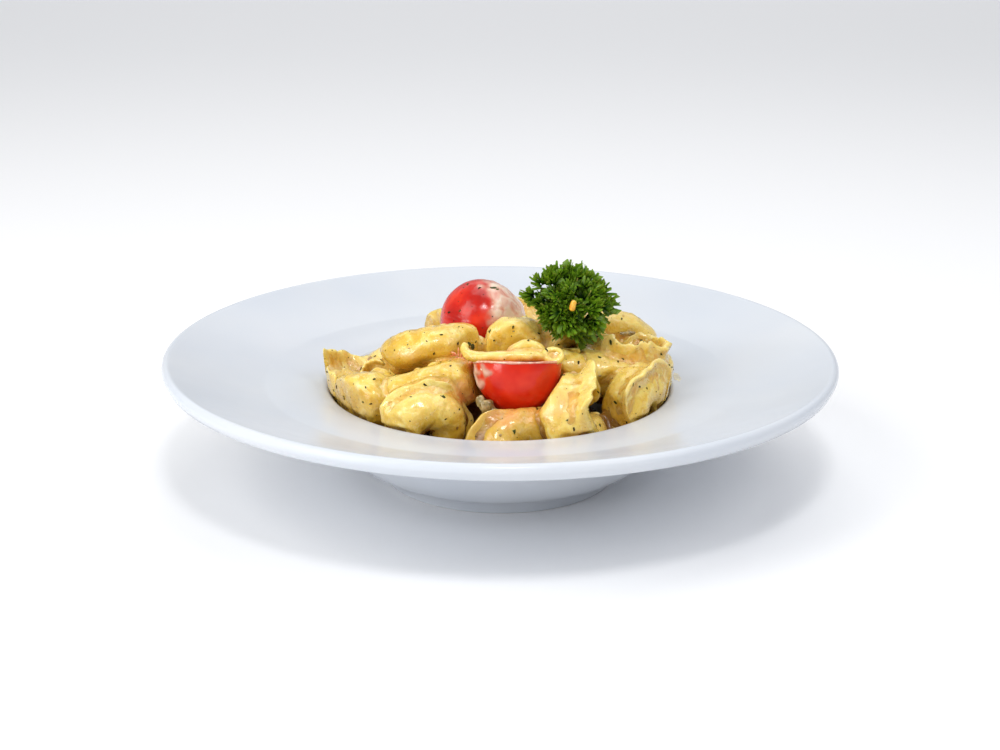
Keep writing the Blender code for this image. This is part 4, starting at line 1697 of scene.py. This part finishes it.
@dataclass
class CutFace:
    """The half tomato's cut face: an outer wall, a core, and gel chambers with seeds between them."""

    spec: TomatoShape
    chambers: int = 3
    middle: float = 0.52
    seeds: int = 5
    rings: int = 44
    around: int = 120

    def depth(self, share: np.ndarray, turn: np.ndarray) -> tuple[np.ndarray, np.ndarray]:
        """How the cut face sinks into its chambers.

        Args:
            share: The distance from the middle, as a share of the radius.
            turn: The turn round the middle, in radians.

        Returns:
            How deep the face lies in millimetres, and how much gel shows, from 0 to 1.
        """
        sides = np.cos(self.chambers * turn + 0.6)
        reach = 0.26 + 0.02 * np.sin(7 * turn)
        inside = 1 - smoothstep(np.abs(share - self.middle) / reach, 0.75, 1.0)
        inside *= smoothstep(sides, -0.72, -0.45)
        return 1.1 * inside + 0.35 * smoothstep(1 - share, 0.03, 0.0), inside

    def build(self, flesh: Material, seed_finish: Material) -> list[Object]:
        """Makes the face and the seeds.

        Args:
            flesh: The cut flesh's material.
            seed_finish: The seeds' material.

        Returns:
            The face and the seeds.
        """
        turned = self.spec.turned()
        centre = np.array(self.spec.centre, float)
        share = np.linspace(0.02, 0.985, self.rings)[:, None]
        turn = np.linspace(0, 2 * math.pi, self.around, endpoint=False)[None, :]
        deep, gel = self.depth(share + 0 * turn, turn + 0 * share)
        radius = share * self.spec.radius
        flat = np.stack([radius * np.cos(turn), radius * np.sin(turn), 0.42 - deep + 0 * turn], axis=-1)
        flat = flat.reshape(-1, 3)
        flat[:, 2] += 0.12 * noise_at(flat, 2.5, 3.0)
        faces = [tuple(range(self.around))[::-1]] + ring_quads(self.rings, self.around)
        face = add_mesh("tomato_half_flesh", centre + flat @ turned, faces, [flesh])
        mark(face.data, "gel", gel.ravel())
        whole = Gathered()
        rng = np.random.default_rng(5)
        for chamber, _ in itertools.product(range(self.chambers), range(self.seeds)):
            at = (2 * math.pi * chamber - 0.6) / self.chambers + rng.uniform(-0.5, 0.5)
            away = self.spec.radius * rng.uniform(0.36, 0.68)
            body, links = seed_body(rng.uniform(1.0, 1.35), rng)
            body = body + np.array((away * math.cos(at), away * math.sin(at), -0.35))
            whole.add(centre + body @ turned, links)
        seeds = add_mesh("tomato_seeds", whole.points, whole.faces, [seed_finish])
        return [placed(face, Slot.TOMATO), placed(seeds, Slot.TOMATO)]


def seed_body(half_length: float, rng: np.random.Generator) -> tuple[np.ndarray, list]:
    """One tomato seed: a flattened drop, turned at random about the vertical.

    Args:
        half_length: Half its length in millimetres.
        rng: The random numbers to use.

    Returns:
        Points in millimetres and faces.
    """
    local, faces = unit_ball(2)
    local[:, 1] *= 0.68 - 0.22 * local[:, 0]
    local *= half_length * np.array((1, 1, 0.42))
    turn = rng.uniform(0, 2 * math.pi)
    spin = np.array([(math.cos(turn), math.sin(turn), 0), (-math.sin(turn), math.cos(turn), 0), (0, 0, 1)])
    return local @ spin, faces


# Scattered things, placed by Geometry Nodes.


@dataclass
class Scatter:
    """Puts small things on a surface, turned and sized at random, as one mesh.

    spacing is in millimetres, and density in things per square metre. sizes are the least and most that a thing
    is scaled by. Only faces whose normal rises past least_rise carry any, and tilt, in radians, is how far a thing
    leans from the surface.
    """

    name: str
    surface: Object
    kinds: list[Object]
    spacing: float
    density: float
    sizes: tuple[float, float]
    least_rise: float = -0.2
    tilt: float = 0.3
    seed: int = 1

    def tree(self) -> tuple[NodeTree, dict[str, str]]:
        """The node tree and its inputs.

        Returns:
            The tree, and each input's name with its identifier.
        """
        tree = bpy.data.node_groups.new(self.name + "_nodes", "GeometryNodeTree")
        add = tree.interface.new_socket
        add("Geometry", in_out="OUTPUT", socket_type="NodeSocketGeometry")
        add("Geometry", in_out="INPUT", socket_type="NodeSocketGeometry")
        kinds = {
            "Kinds": "Collection", "Spacing": "Float", "Density": "Float", "Smallest": "Float", "Largest": "Float",
            "Least Rise": "Float", "Tilt": "Float", "Seed": "Int", "Material": "Material",
        }
        inputs = {}
        for name, kind in kinds.items():
            inputs[name] = add(name, in_out="INPUT", socket_type="NodeSocket" + kind).identifier
        node = partial(add_node, tree)
        given = node("NodeGroupInput").outputs
        normal = node("GeometryNodeInputNormal").outputs["Normal"]
        rise = node("ShaderNodeSeparateXYZ", {"Vector": normal}).outputs["Z"]
        sides = {0: rise, 1: given["Least Rise"]}
        rises = node("FunctionNodeCompare", sides, data_type="FLOAT", operation="GREATER_THAN").outputs["Result"]
        spread = node(
            "GeometryNodeDistributePointsOnFaces",
            {"Mesh": given["Geometry"], "Selection": rises, "Distance Min": given["Spacing"],
             "Density Max": given["Density"], "Seed": given["Seed"]},
            distribute_method="POISSON",
        )
        low = node("ShaderNodeCombineXYZ", {"Z": -math.pi})
        high = node("ShaderNodeCombineXYZ", {"Z": math.pi})
        for corner, sign in ((low, -1.0), (high, 1.0)):
            signed = node("ShaderNodeMath", {0: given["Tilt"], 1: sign}, operation="MULTIPLY").outputs[0]
            for side in ("X", "Y"):
                tree.links.new(signed, corner.inputs[side])
        limits = {0: low.outputs[0], 1: high.outputs[0], "Seed": given["Seed"]}
        wander = node("FunctionNodeRandomValue", limits, data_type="FLOAT_VECTOR").outputs[0]
        twist = node("FunctionNodeEulerToRotation", {"Euler": wander}).outputs[0]
        turns = {"Rotation": spread.outputs["Rotation"], "Rotate By": twist}
        facing = node("FunctionNodeRotateRotation", turns, rotation_space="LOCAL").outputs[0]
        limits = {2: given["Smallest"], 3: given["Largest"], "Seed": given["Seed"]}
        size = node("FunctionNodeRandomValue", limits, data_type="FLOAT").outputs[1]
        kinds = {"Collection": given["Kinds"], "Separate Children": True, "Reset Children": True}
        laid = node("GeometryNodeInstanceOnPoints", {
            "Points": spread.outputs["Points"], "Instance": node("GeometryNodeCollectionInfo", kinds).outputs[0],
            "Pick Instance": True, "Rotation": facing, "Scale": size,
        }).outputs[0]
        real = node("GeometryNodeRealizeInstances", {"Geometry": laid}).outputs[0]
        dressed = node("GeometryNodeSetMaterial", {"Geometry": real, "Material": given["Material"]}).outputs[0]
        node("NodeGroupOutput", {"Geometry": dressed})
        return tree, inputs

    def grow(self, material: Material) -> Object:
        """Runs the tree on the surface and keeps its result as a plain mesh.

        Args:
            material: The material of everything scattered.

        Returns:
            The new object, in the scene.
        """
        tree, inputs = self.tree()
        group = bpy.data.collections.new(self.name + "_kinds")
        for kind in self.kinds:
            group.objects.link(kind)
        carrier = show(bpy.data.objects.new(self.name, self.surface.data.copy()))
        modifier = carrier.modifiers.new("scatter", "NODES")
        modifier.node_group = tree
        values = {
            "Kinds": group, "Spacing": self.spacing * MM, "Density": self.density, "Smallest": self.sizes[0],
            "Largest": self.sizes[1], "Least Rise": self.least_rise, "Tilt": self.tilt, "Seed": self.seed,
            "Material": material,
        }
        for name, value in values.items():
            modifier[inputs[name]] = value
        mesh = final_mesh(carrier)
        carrier.modifiers.clear()
        carrier.data = mesh
        mesh.name = self.name
        for kind in self.kinds:
            bpy.data.objects.remove(kind)
        bpy.data.collections.remove(group)
        return carrier


def plain_object(name: str, points: list, faces: list, marks: dict[str, list] | None = None) -> Object:
    """A mesh object that is kept out of the scene, for scattering.

    Args:
        name: The object's name.
        points: Points in millimetres.
        faces: The corners of each face.
        marks: Numbers to keep on the vertices, by attribute name.

    Returns:
        The object.
    """
    mesh = bpy.data.meshes.new(name)
    mesh.from_pydata([[c * MM for c in point] for point in points], [], faces)
    mesh.shade_smooth()
    for key, values in (marks or {}).items():
        mark(mesh, key, np.array(values, float))
    return bpy.data.objects.new(name, mesh)


@dataclass
class Herbs:
    """Dried herb flakes and ground pepper on the sauced pieces."""

    surface: Object
    kinds: int = 5
    seed: int = 11

    def flake(self, number: int, rng: np.random.Generator) -> Object:
        """One torn leaf flake about a millimetre long: a thin, ragged and curled plate.

        Args:
            number: Its number among the kinds.
            rng: The random numbers to use.

        Returns:
            The flake, kept out of the scene.
        """
        count = 9
        turns = np.linspace(0, 2 * math.pi, count, endpoint=False)
        radii = rng.uniform(0.55, 1.0, count) * (1 + 0.35 * np.cos(turns) ** 2)
        curl = rng.uniform(-0.35, 0.35)
        rim = [(0.62 * r * math.cos(t), 0.40 * r * math.sin(t)) for r, t in zip(radii, turns)]
        points = []
        for side in (0.06, -0.06):
            points += [(x, y, curl * x * x + 0.25 * y * y + side) for x, y in rim] + [(0, 0, side)]
        faces, under = [], count + 1
        for k in range(count):
            after = (k + 1) % count
            faces += [(count, k, after), (under + count, under + after, under + k)]
            faces.append((k, under + k, under + after, after))
        return plain_object(f"flake_{number}", points, faces)

    def grit(self, number: int, rng: np.random.Generator) -> Object:
        """One grain of ground pepper, about half a millimetre across.

        Args:
            number: Its number among the kinds.
            rng: The random numbers to use.

        Returns:
            The grain, kept out of the scene.
        """
        local, faces = unit_ball(1)
        local *= rng.uniform(0.7, 1.15, (len(local), 1)) * np.array((0.30, 0.22, 0.16))
        return plain_object(f"grit_{number}", local.tolist(), faces)

    def build(self) -> list[Object]:
        """Scatters dark flakes, green flakes and pepper.

        Returns:
            One mesh of each.
        """
        rng = np.random.default_rng(self.seed)
        made = []
        for name, finish, maker, spacing, density, sizes in (
            ("herb_flakes_dark", DARK_HERB, self.flake, 5.2, 9000, (0.55, 1.5)),
            ("herb_flakes_green", GREEN_HERB, self.flake, 7.5, 6000, (0.8, 2.1)),
            ("pepper_grains", PEPPER, self.grit, 4.2, 26000, (0.5, 1.3)),
        ):
            kinds = [maker(k, rng) for k in range(self.kinds)]
            seed = self.seed + len(made)
            scatter = Scatter(name, self.surface, kinds, spacing, density, sizes, -0.35, 0.35, seed=seed)
            made.append(placed(scatter.grow(finish.build()), Slot.PARSLEY))
        return made


# The rosettes that stand out of the parsley's dome: where each grows from, its way and its size.
SPRAYS = (
    ((17.0, -11, 85.5), (-0.5, -0.3, 0.8), 1.0),
    ((22.0, -11, 87.8), (-0.25, -0.3, 0.9), 1.05),
    ((28.0, -11, 88.6), (0.0, -0.3, 0.95), 1.1),
    ((33.0, -11, 87.4), (0.25, -0.3, 0.9), 1.1),
    ((36.5, -11.5, 84.3), (0.55, -0.3, 0.75), 1.05),
    ((39.5, -12, 81.3), (0.8, -0.3, 0.5), 1.05),
    ((41.5, -13, 77.5), (0.95, -0.35, 0.15), 1.05),
    ((26.0, -24, 75.0), (0.0, -0.85, -0.55), 1.1),
    ((20.5, -22, 77.0), (-0.4, -0.8, -0.4), 1.0),
    ((14.5, -13, 81.0), (-0.9, -0.4, 0.3), 1.0),
)
CUT_STALK = Roll(((28.6, -30.2, 80.0), (28.9, -30.5, 82.2), (29.6, -30.7, 84.4)), (1.3, 1.25, 1.1))


@dataclass
class Sprig:
    """The curly parsley: rosettes of ruffled, toothed leaflets over a dome, on thin branching stalks.

    shells are the domes that the rosettes stand on: each one's share of the sprig's size, how far apart its
    rosettes stand in millimetres, and their size.
    """

    packing: Packing
    shells: tuple = ((0.62, 4.0, 0.95), (0.38, 4.6, 0.9))
    branches: int = 22
    kinds: int = 6
    seed: int = 3

    def leaflet(self, rng: np.random.Generator, length: float) -> tuple[list, list, list]:
        """One ruffled leaflet, a hand of blunt fingers, growing along +X from the origin.

        Args:
            rng: The random numbers to use.
            length: Its length in millimetres.

        Returns:
            Points, faces, and how near each point is to a tooth's tip.
        """
        fingers = 5
        places, profile = (0, 0.20, 0.33, 0.5, 0.67, 0.80), (0.36, 0.74, 0.98, 1.05, 0.98, 0.74)
        steps = len(profile)
        count = steps * fingers + 1
        fan = [math.radians(132 * ((k // steps + places[k % steps]) / fingers - 0.5)) for k in range(count)]
        curl, ruffle, phase = rng.uniform(0.1, 0.5), rng.uniform(0.12, 0.26), rng.uniform(0, 6)
        rows = [[(0.0, 0.0)]]
        for share in (0.22, 0.42):
            rows.append([(share * length * math.cos(a), share * length * math.sin(a) * 0.85) for a in fan])
        reaches = rng.uniform(0.82, 1.1, fingers + 1)
        rim = []
        for k, a in enumerate(fan):
            reach = length * profile[k % steps] * (reaches[k // steps] if k % steps else 1.0)
            reach *= 0.78 + 0.22 * math.cos(a)
            rim.append((reach * math.cos(a), reach * math.sin(a) * 0.9))
        rows.append(rim)
        points, tips = [], []
        for side in (0.08, -0.08):
            for number, row in enumerate(rows):
                for k, (x, y) in enumerate(row):
                    wave = math.sin(1.9 * ((k + 3) // steps) + phase)
                    lift = curl * x * x / length + ruffle * length * (number / 3) ** 1.5 * wave
                    points.append((x, y, lift + side * (0 if number == 3 else 1)))
                    tips.append(number / 3 if number < 3 or k % steps else 0.5)
        layer = 1 + 3 * count
        faces = []
        for flip in (0, 1):
            base = flip * layer
            for k in range(count - 1):
                faces.append((base, base + 1 + k, base + 2 + k)[:: 1 if flip else -1])
                for row in range(2):
                    a = base + 1 + row * count + k
                    faces.append((a, a + count, a + count + 1, a + 1)[:: 1 if flip else -1])
        return points, faces, tips

    def rosette(self, rng: np.random.Generator) -> tuple[list, list, list]:
        """A cluster of leaflets that opens upwards from one point.

        Args:
            rng: The random numbers to use.

        Returns:
            Points, faces, and how near each point is to a tooth's tip.
        """
        whole, tips = Gathered(), []
        for k in range(6):
            turn = 2.4 * k + rng.uniform(-0.3, 0.3)
            rise = math.radians(80 - 12 * k + rng.uniform(-10, 10))
            body, links, marks = self.leaflet(rng, rng.uniform(4.4, 6.6))
            roll = rng.uniform(-0.9, 0.9)
            ahead = np.array((math.cos(turn) * math.cos(rise), math.sin(turn) * math.cos(rise), math.sin(rise)))
            side = unit(np.cross((0.13, 0.07, 1), ahead))
            above = np.cross(ahead, side)
            cos, sin = math.cos(roll), math.sin(roll)
            turned = np.stack([ahead, side * cos + above * sin, above * cos - side * sin])
            whole.add(ahead * 0.9 + np.array(body) @ turned, links)
            tips += marks
        return whole.points, whole.faces, tips

    def sprays(self, leaf: Material) -> Object:
        """The rosettes that stand out of the dome and give it its ragged outline.

        Args:
            leaf: The leaves' finish.

        Returns:
            One mesh of them all.
        """
        rng = np.random.default_rng(self.seed + 40)
        whole, tips = Gathered(), []
        for place, ahead, size in SPRAYS:
            body, links, marks = self.rosette(rng)
            turned = np.array(Vector(ahead).to_track_quat("Z", "Y").to_matrix())
            whole.add(np.array(place) + size * np.array(body) @ turned.T, links)
            tips += marks
        made = add_mesh("parsley_sprays", whole.points, whole.faces, [leaf])
        mark(made.data, "tip", np.array(tips, float))
        return made

    def stalks(self) -> Object:
        """The main stalk and its branches to the dome.

        Returns:
            One tube mesh.
        """
        rng = np.random.default_rng(self.seed)
        centre = np.array(SPRIG.centre, float)
        foot = centre + (1.0, 2.0, -13.0)
        knot = centre + (0, 0, -7.0)
        curve = bpy.data.curves.new("parsley_stalks", "CURVE")
        curve.dimensions = "3D"
        curve.bevel_depth = 0.55 * MM
        curve.bevel_resolution = 2
        curve.use_fill_caps = True
        routes = [[foot, (foot + knot) / 2 + (0.4, -0.3, 0), knot]]
        for k in range(self.branches):
            turn, rise = 2.4 * k, math.asin(1 - 1.25 * (k + 0.5) / self.branches)
            ahead = np.array((math.cos(turn) * math.cos(rise), math.sin(turn) * math.cos(rise), math.sin(rise)))
            end = centre + ahead * np.array(SPRIG.radii) * 0.72
            middle = (knot + end) / 2 + rng.uniform(-1.2, 1.2, 3)
            routes.append([knot, middle, end])
        for number, route in enumerate(routes):
            spline = curve.splines.new("BEZIER")
            spline.bezier_points.add(len(route) - 1)
            thick = (0.9, 0.7, 0.45) if number else (1.5, 1.35, 1.2)
            for point, place, size in zip(spline.bezier_points, route, thick):
                point.co = place * MM
                point.radius = size
                point.handle_left_type = point.handle_right_type = "AUTO"
        made = show(bpy.data.objects.new("parsley_stalks", curve))
        mesh = final_mesh(made)
        bpy.data.objects.remove(made)
        mesh.shade_smooth()
        mesh.materials.clear()
        mesh.materials.append(STALK.build())
        return show(bpy.data.objects.new("parsley_stalks", mesh))

    def build(self) -> list[Object]:
        """Grows the rosettes on shells inside the sprig's form, and the stalks.

        Returns:
            The sprig's pieces.
        """
        rng = np.random.default_rng(self.seed)
        leaf = CurlyLeaf().build()
        points, faces = SPRIG.shape(4)
        points = self.packing.squeezed(SPRIG.node, points)
        centre = np.array(SPRIG.centre, float) - (0, 0, 3.0)
        made = []
        for number, (share, spacing, size) in enumerate(self.shells):
            shell = add_mesh("shell", centre + (points - centre) * share, faces, [])
            kinds = []
            for k in range(self.kinds):
                body, links, marks = self.rosette(rng)
                kinds.append(plain_object(f"rosette_{k}", body, links, {"tip": marks}))
            scatter = Scatter(
                f"parsley_leaves_{number}", shell, kinds, spacing, 200000, (0.65 * size, 1.25 * size), -1.0, 0.6,
                seed=self.seed + number,
            )
            leaves = scatter.grow(leaf)
            bpy.data.objects.remove(shell)
            made.append(placed(leaves, Slot.PARSLEY, *([SPRIG.node] if number == 0 else [])))
        made.append(placed(self.sprays(leaf), Slot.PARSLEY))
        made.append(placed(self.stalks(), Slot.PARSLEY))
        cut = add_mesh("parsley_cut_stalk", *CUT_STALK.swept(24, 16), [CUT_END.build()])
        made.append(placed(cut, Slot.PARSLEY))
        return made


@dataclass(frozen=True)
class Bit:
    """A small soft lump in the sauce: where it lies, its half sizes in millimetres and its turn in radians."""

    centre: tuple
    size: tuple
    turn: float


@dataclass
class Bits:
    """Soft chopped lumps of one kind, such as onion or stewed tomato."""

    name: str
    lumps: tuple
    finish: PlainFinish

    def build(self) -> Object:
        """Makes every lump as a rounded, dented block.

        Returns:
            One mesh of them all.
        """
        whole = Gathered()
        for number, bit in enumerate(self.lumps):
            local, links = unit_ball(4)
            local = np.sign(local) * np.abs(local) ** 0.75
            local *= (1 + 0.28 * noise_at(local, 0.9, number + 2.0))[:, None]
            cos, sin = math.cos(bit.turn), math.sin(bit.turn)
            spin = np.array([(cos, sin, 0), (-sin, cos, 0), (0, 0, 1)])
            whole.add(np.array(bit.centre, float) + (local * np.array(bit.size)) @ spin, links)
        return placed(add_mesh(self.name, whole.points, whole.faces, [self.finish.build()]), Slot.SAUCE)


# What lies in the sauce and on it.
ONION = (
    Bit((40.5, -25.0, 52.0), (2.4, 1.4, 0.9), 0.3),
    Bit((43.5, -22.0, 53.0), (2.2, 1.6, 1.0), 1.2),
    Bit((-5.0, -49.6, 46.2), (3.0, 1.8, 2.5), 0.5),
    Bit((-7.6, -48.6, 47.8), (1.9, 1.7, 2.4), -0.4),
    Bit((-4.0, -49.6, 44.2), (2.8, 1.5, 1.7), 0.2),
    Bit((52.0, 2.5, 61.0), (2.2, 0.9, 0.7), 0.45),
    Bit((54.8, 3.6, 60.8), (1.9, 0.9, 0.9), 0.0),
)

STEWED = (
    Bit((-18.0, -26.7, 60.2), (2.6, 0.36, 0.34), 0.6),
    Bit((-16.8, -27.2, 61.2), (0.34, 0.36, 2.3), 0.2),
    Bit((-15.6, -27.8, 60.6), (0.36, 0.34, 2.0), -0.3),
    Bit((-19.2, -26.2, 60.9), (1.9, 0.34, 0.5), -0.7),
    Bit((-15.8, -28.2, 59.4), (2.2, 0.4, 0.34), -0.3),
    Bit((-14.4, -28.4, 60.2), (0.4, 0.36, 1.9), 0.5),
    Bit((-17.2, -27.6, 59.2), (1.4, 0.36, 0.5), 0.9),
    Bit((-13.4, -28.2, 60.9), (1.8, 0.4, 0.4), 0.4),
)

WILTED = (
    Bit((-18.9, -22.8, 63.0), (1.0, 0.5, 1.2), 0.3),
    Bit((-17.9, -23.2, 61.6), (0.8, 0.5, 1.2), -0.2),
    Bit((-13.0, -18.4, 62.4), (1.5, 0.4, 0.8), -0.6),
    Bit((-11.2, -18.6, 61.2), (0.8, 0.4, 1.2), 0.4),
    Bit((-27.6, -22.0, 66.3), (0.7, 0.4, 1.1), 0.2),
    Bit((-3.2, 8.2, 78.9), (1.5, 0.9, 0.4), 0.3),
    Bit((-1.6, 8.0, 78.3), (0.9, 1.0, 0.4), 0.9),
)

# The smear on the rim: dabs in a spiral whose turn is the golden angle, 2.4 radians.
SMEAR_DABS = 16
SMEAR = tuple(
    Bit(
        (75.9 + 1.9 * away * math.cos(2.4 * k), 8.5 + 6.0 * away * math.sin(2.4 * k), 40.12),
        (1.3 - 0.05 * k, 1.7 - 0.07 * k, 0.2), 0.7 * k,
    )
    for k, away in ((k, math.sqrt(k / SMEAR_DABS)) for k in range(SMEAR_DABS))
)

DROPS = (
    Bit((2.5, -50.2, 49.6), (0.62, 0.3, 0.55), 0.1),
    Bit((14.2, -50.4, 50.1), (0.5, 0.3, 0.42), 0.4),
    Bit((-4.6, -49.4, 58.3), (0.7, 0.45, 0.6), -0.6),
    Bit((-7.2, -47.0, 60.5), (0.6, 0.4, 0.5), -0.8),
)


@dataclass(frozen=True)
class Lamp:
    """One softbox: its place and size in metres, its power in watts, and where it aims, or None for the plate."""

    name: str
    place: tuple
    size: tuple
    power: float
    tint: str = "#FFFFFF"
    aim: tuple | None = None


LAMPS = (
    Lamp("window_left", (-0.9, -0.55, 0.85), (0.7, 0.9), 7.6, "#FFFDF8"),
    Lamp("overhead", (0.15, 0.35, 1.2), (1.1, 0.7), 4.5),
    Lamp("low_fill", (-1.1, -0.9, 0.22), (0.5, 0.35), 4.0),
    Lamp("glint", (0.05, -0.7, 1.1), (0.2, 0.2), 3.6),
    Lamp("fill_right", (0.75, -0.55, 0.95), (0.5, 0.5), 2.6),
    Lamp("floor_wash", (0.0, 2.3, 1.5), (3.6, 1.6), 14.0, aim=(0.0, 2.6, 0.0)),
)


@dataclass
class Studio:
    """The pale floor, the soft lamps, the sky and the camera. Lengths are in metres."""

    floor_size: float = 12.0
    distance: float = 0.8
    elevation: float = 17.78
    aim: tuple = (0.0, 0.0, 0.04322)
    lens: float = 68.5
    roll: float = 0.3

    def floor(self) -> None:
        """Lays the floor."""
        paper, _, shader = new_surface("pale_paper")
        fill(shader, Base_Color=colour("#FBFBFC"), Roughness=0.95)
        half = self.floor_size / 2 / MM
        corners = [(-half, -half, 0), (half, -half, 0), (half, half, 0), (-half, half, 0)]
        add_mesh("floor", corners, [(0, 1, 2, 3)], [paper])

    def hang(self, lamp: Lamp) -> None:
        """Hangs one softbox.

        Args:
            lamp: What it is.
        """
        light = bpy.data.lights.new(lamp.name, "AREA")
        light.shape = "RECTANGLE"
        light.size, light.size_y = lamp.size
        light.energy = lamp.power
        light.color = colour(lamp.tint)[:3]
        made = show(bpy.data.objects.new(lamp.name, light))
        made.location = lamp.place
        ahead = Vector(lamp.aim or self.aim) - Vector(lamp.place)
        made.rotation_euler = ahead.to_track_quat("-Z", "Y").to_euler()

    def sky(self) -> None:
        """Sets the pale light that comes from all round."""
        world = bpy.data.worlds.new("pale_sky")
        world.use_nodes = True
        background = world.node_tree.nodes["Background"]
        background.inputs["Color"].default_value = colour("#F4F7FC")
        background.inputs["Strength"].default_value = 0.45
        bpy.context.scene.world = world

    def camera(self) -> None:
        """Sets the camera, level with the eyes of someone at the table."""
        camera = bpy.data.cameras.new("camera")
        camera.lens = self.lens
        camera.sensor_width = 36
        camera.clip_start = 0.01
        made = show(bpy.data.objects.new("camera", camera))
        tilt = math.radians(self.elevation)
        away = Vector((0, -math.cos(tilt), math.sin(tilt))) * self.distance
        made.location = Vector(self.aim) + away
        made.rotation_euler = (-away).to_track_quat("-Z", "Y").to_euler()
        made.rotation_euler.rotate_axis("Z", math.radians(self.roll))
        bpy.context.scene.camera = made

    def build(self) -> None:
        """Sets up the whole studio."""
        self.floor()
        for lamp in LAMPS:
            self.hang(lamp)
        self.sky()
        self.camera()
        bpy.context.scene.view_settings.view_transform = "Standard"


def main() -> None:
    """Builds the plate, the heap, its sauce and garnish, and the studio."""
    logging.basicConfig(level=logging.INFO, format="%(message)s")
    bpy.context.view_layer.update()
    plate = Plate()
    plate.build()
    packing = heap_packing(plate)
    dough = Dough(packing).build()
    SauceBed(dough).build()
    skin, cream = TomatoSkin().build(), TomatoCream().build()
    # The back tomato stands in its own shade, so its red is deeper.
    shaded = TomatoSkin("#C91E0A", "#AE1408").build()
    back_film = (((0.80, -0.36, 0.42), 0.52, 0.34), ((0.2, 0.1, 1.0), 0.84, 0.25))
    back = Tomato(TOMATO_BACK, back_film, shaded, cream, wrinkle=((-0.72, -0.68, 0.10), 2.4, 5.5, 0.24)).build()
    Tomato(TOMATO_HALF, (((-0.96, -0.24, 0.12), 0.86, 0.16),), skin, cream).build()
    Tomato(TOMATO_HIDDEN, (((0.2, 0.4, 0.9), 0.45, 0.30),), skin, cream, 80, 48).build()
    CutFace(TOMATO_HALF).build(TomatoFlesh().build(), TOMATO_SEED.build())
    Bits("onion_bits", ONION, STEWED_ONION).build()
    Bits("sauce_smear", SMEAR, DRIED_CREAM).build()
    points, faces = CREAM_LINE.swept(160, 10)
    line = add_mesh("cream_line", FoldedFlap(TOMATO_HALF).seated(points), faces, [CREAM_RIDGE.build()])
    placed(line, Slot.SAUCE)
    Bits("cream_drops", DROPS, CREAM_DROP).build()
    Bits("tomato_shreds", STEWED, STEWED_TOMATO).build()
    Bits("wilted_herbs", WILTED, WILTED_HERB).build()
    ground = joined_copy("herb_ground", [*dough, back])
    Herbs(ground).build()
    bpy.data.objects.remove(ground)
    Sprig(packing).build()
    Studio().build()


if __name__ == "__main__":
    main()
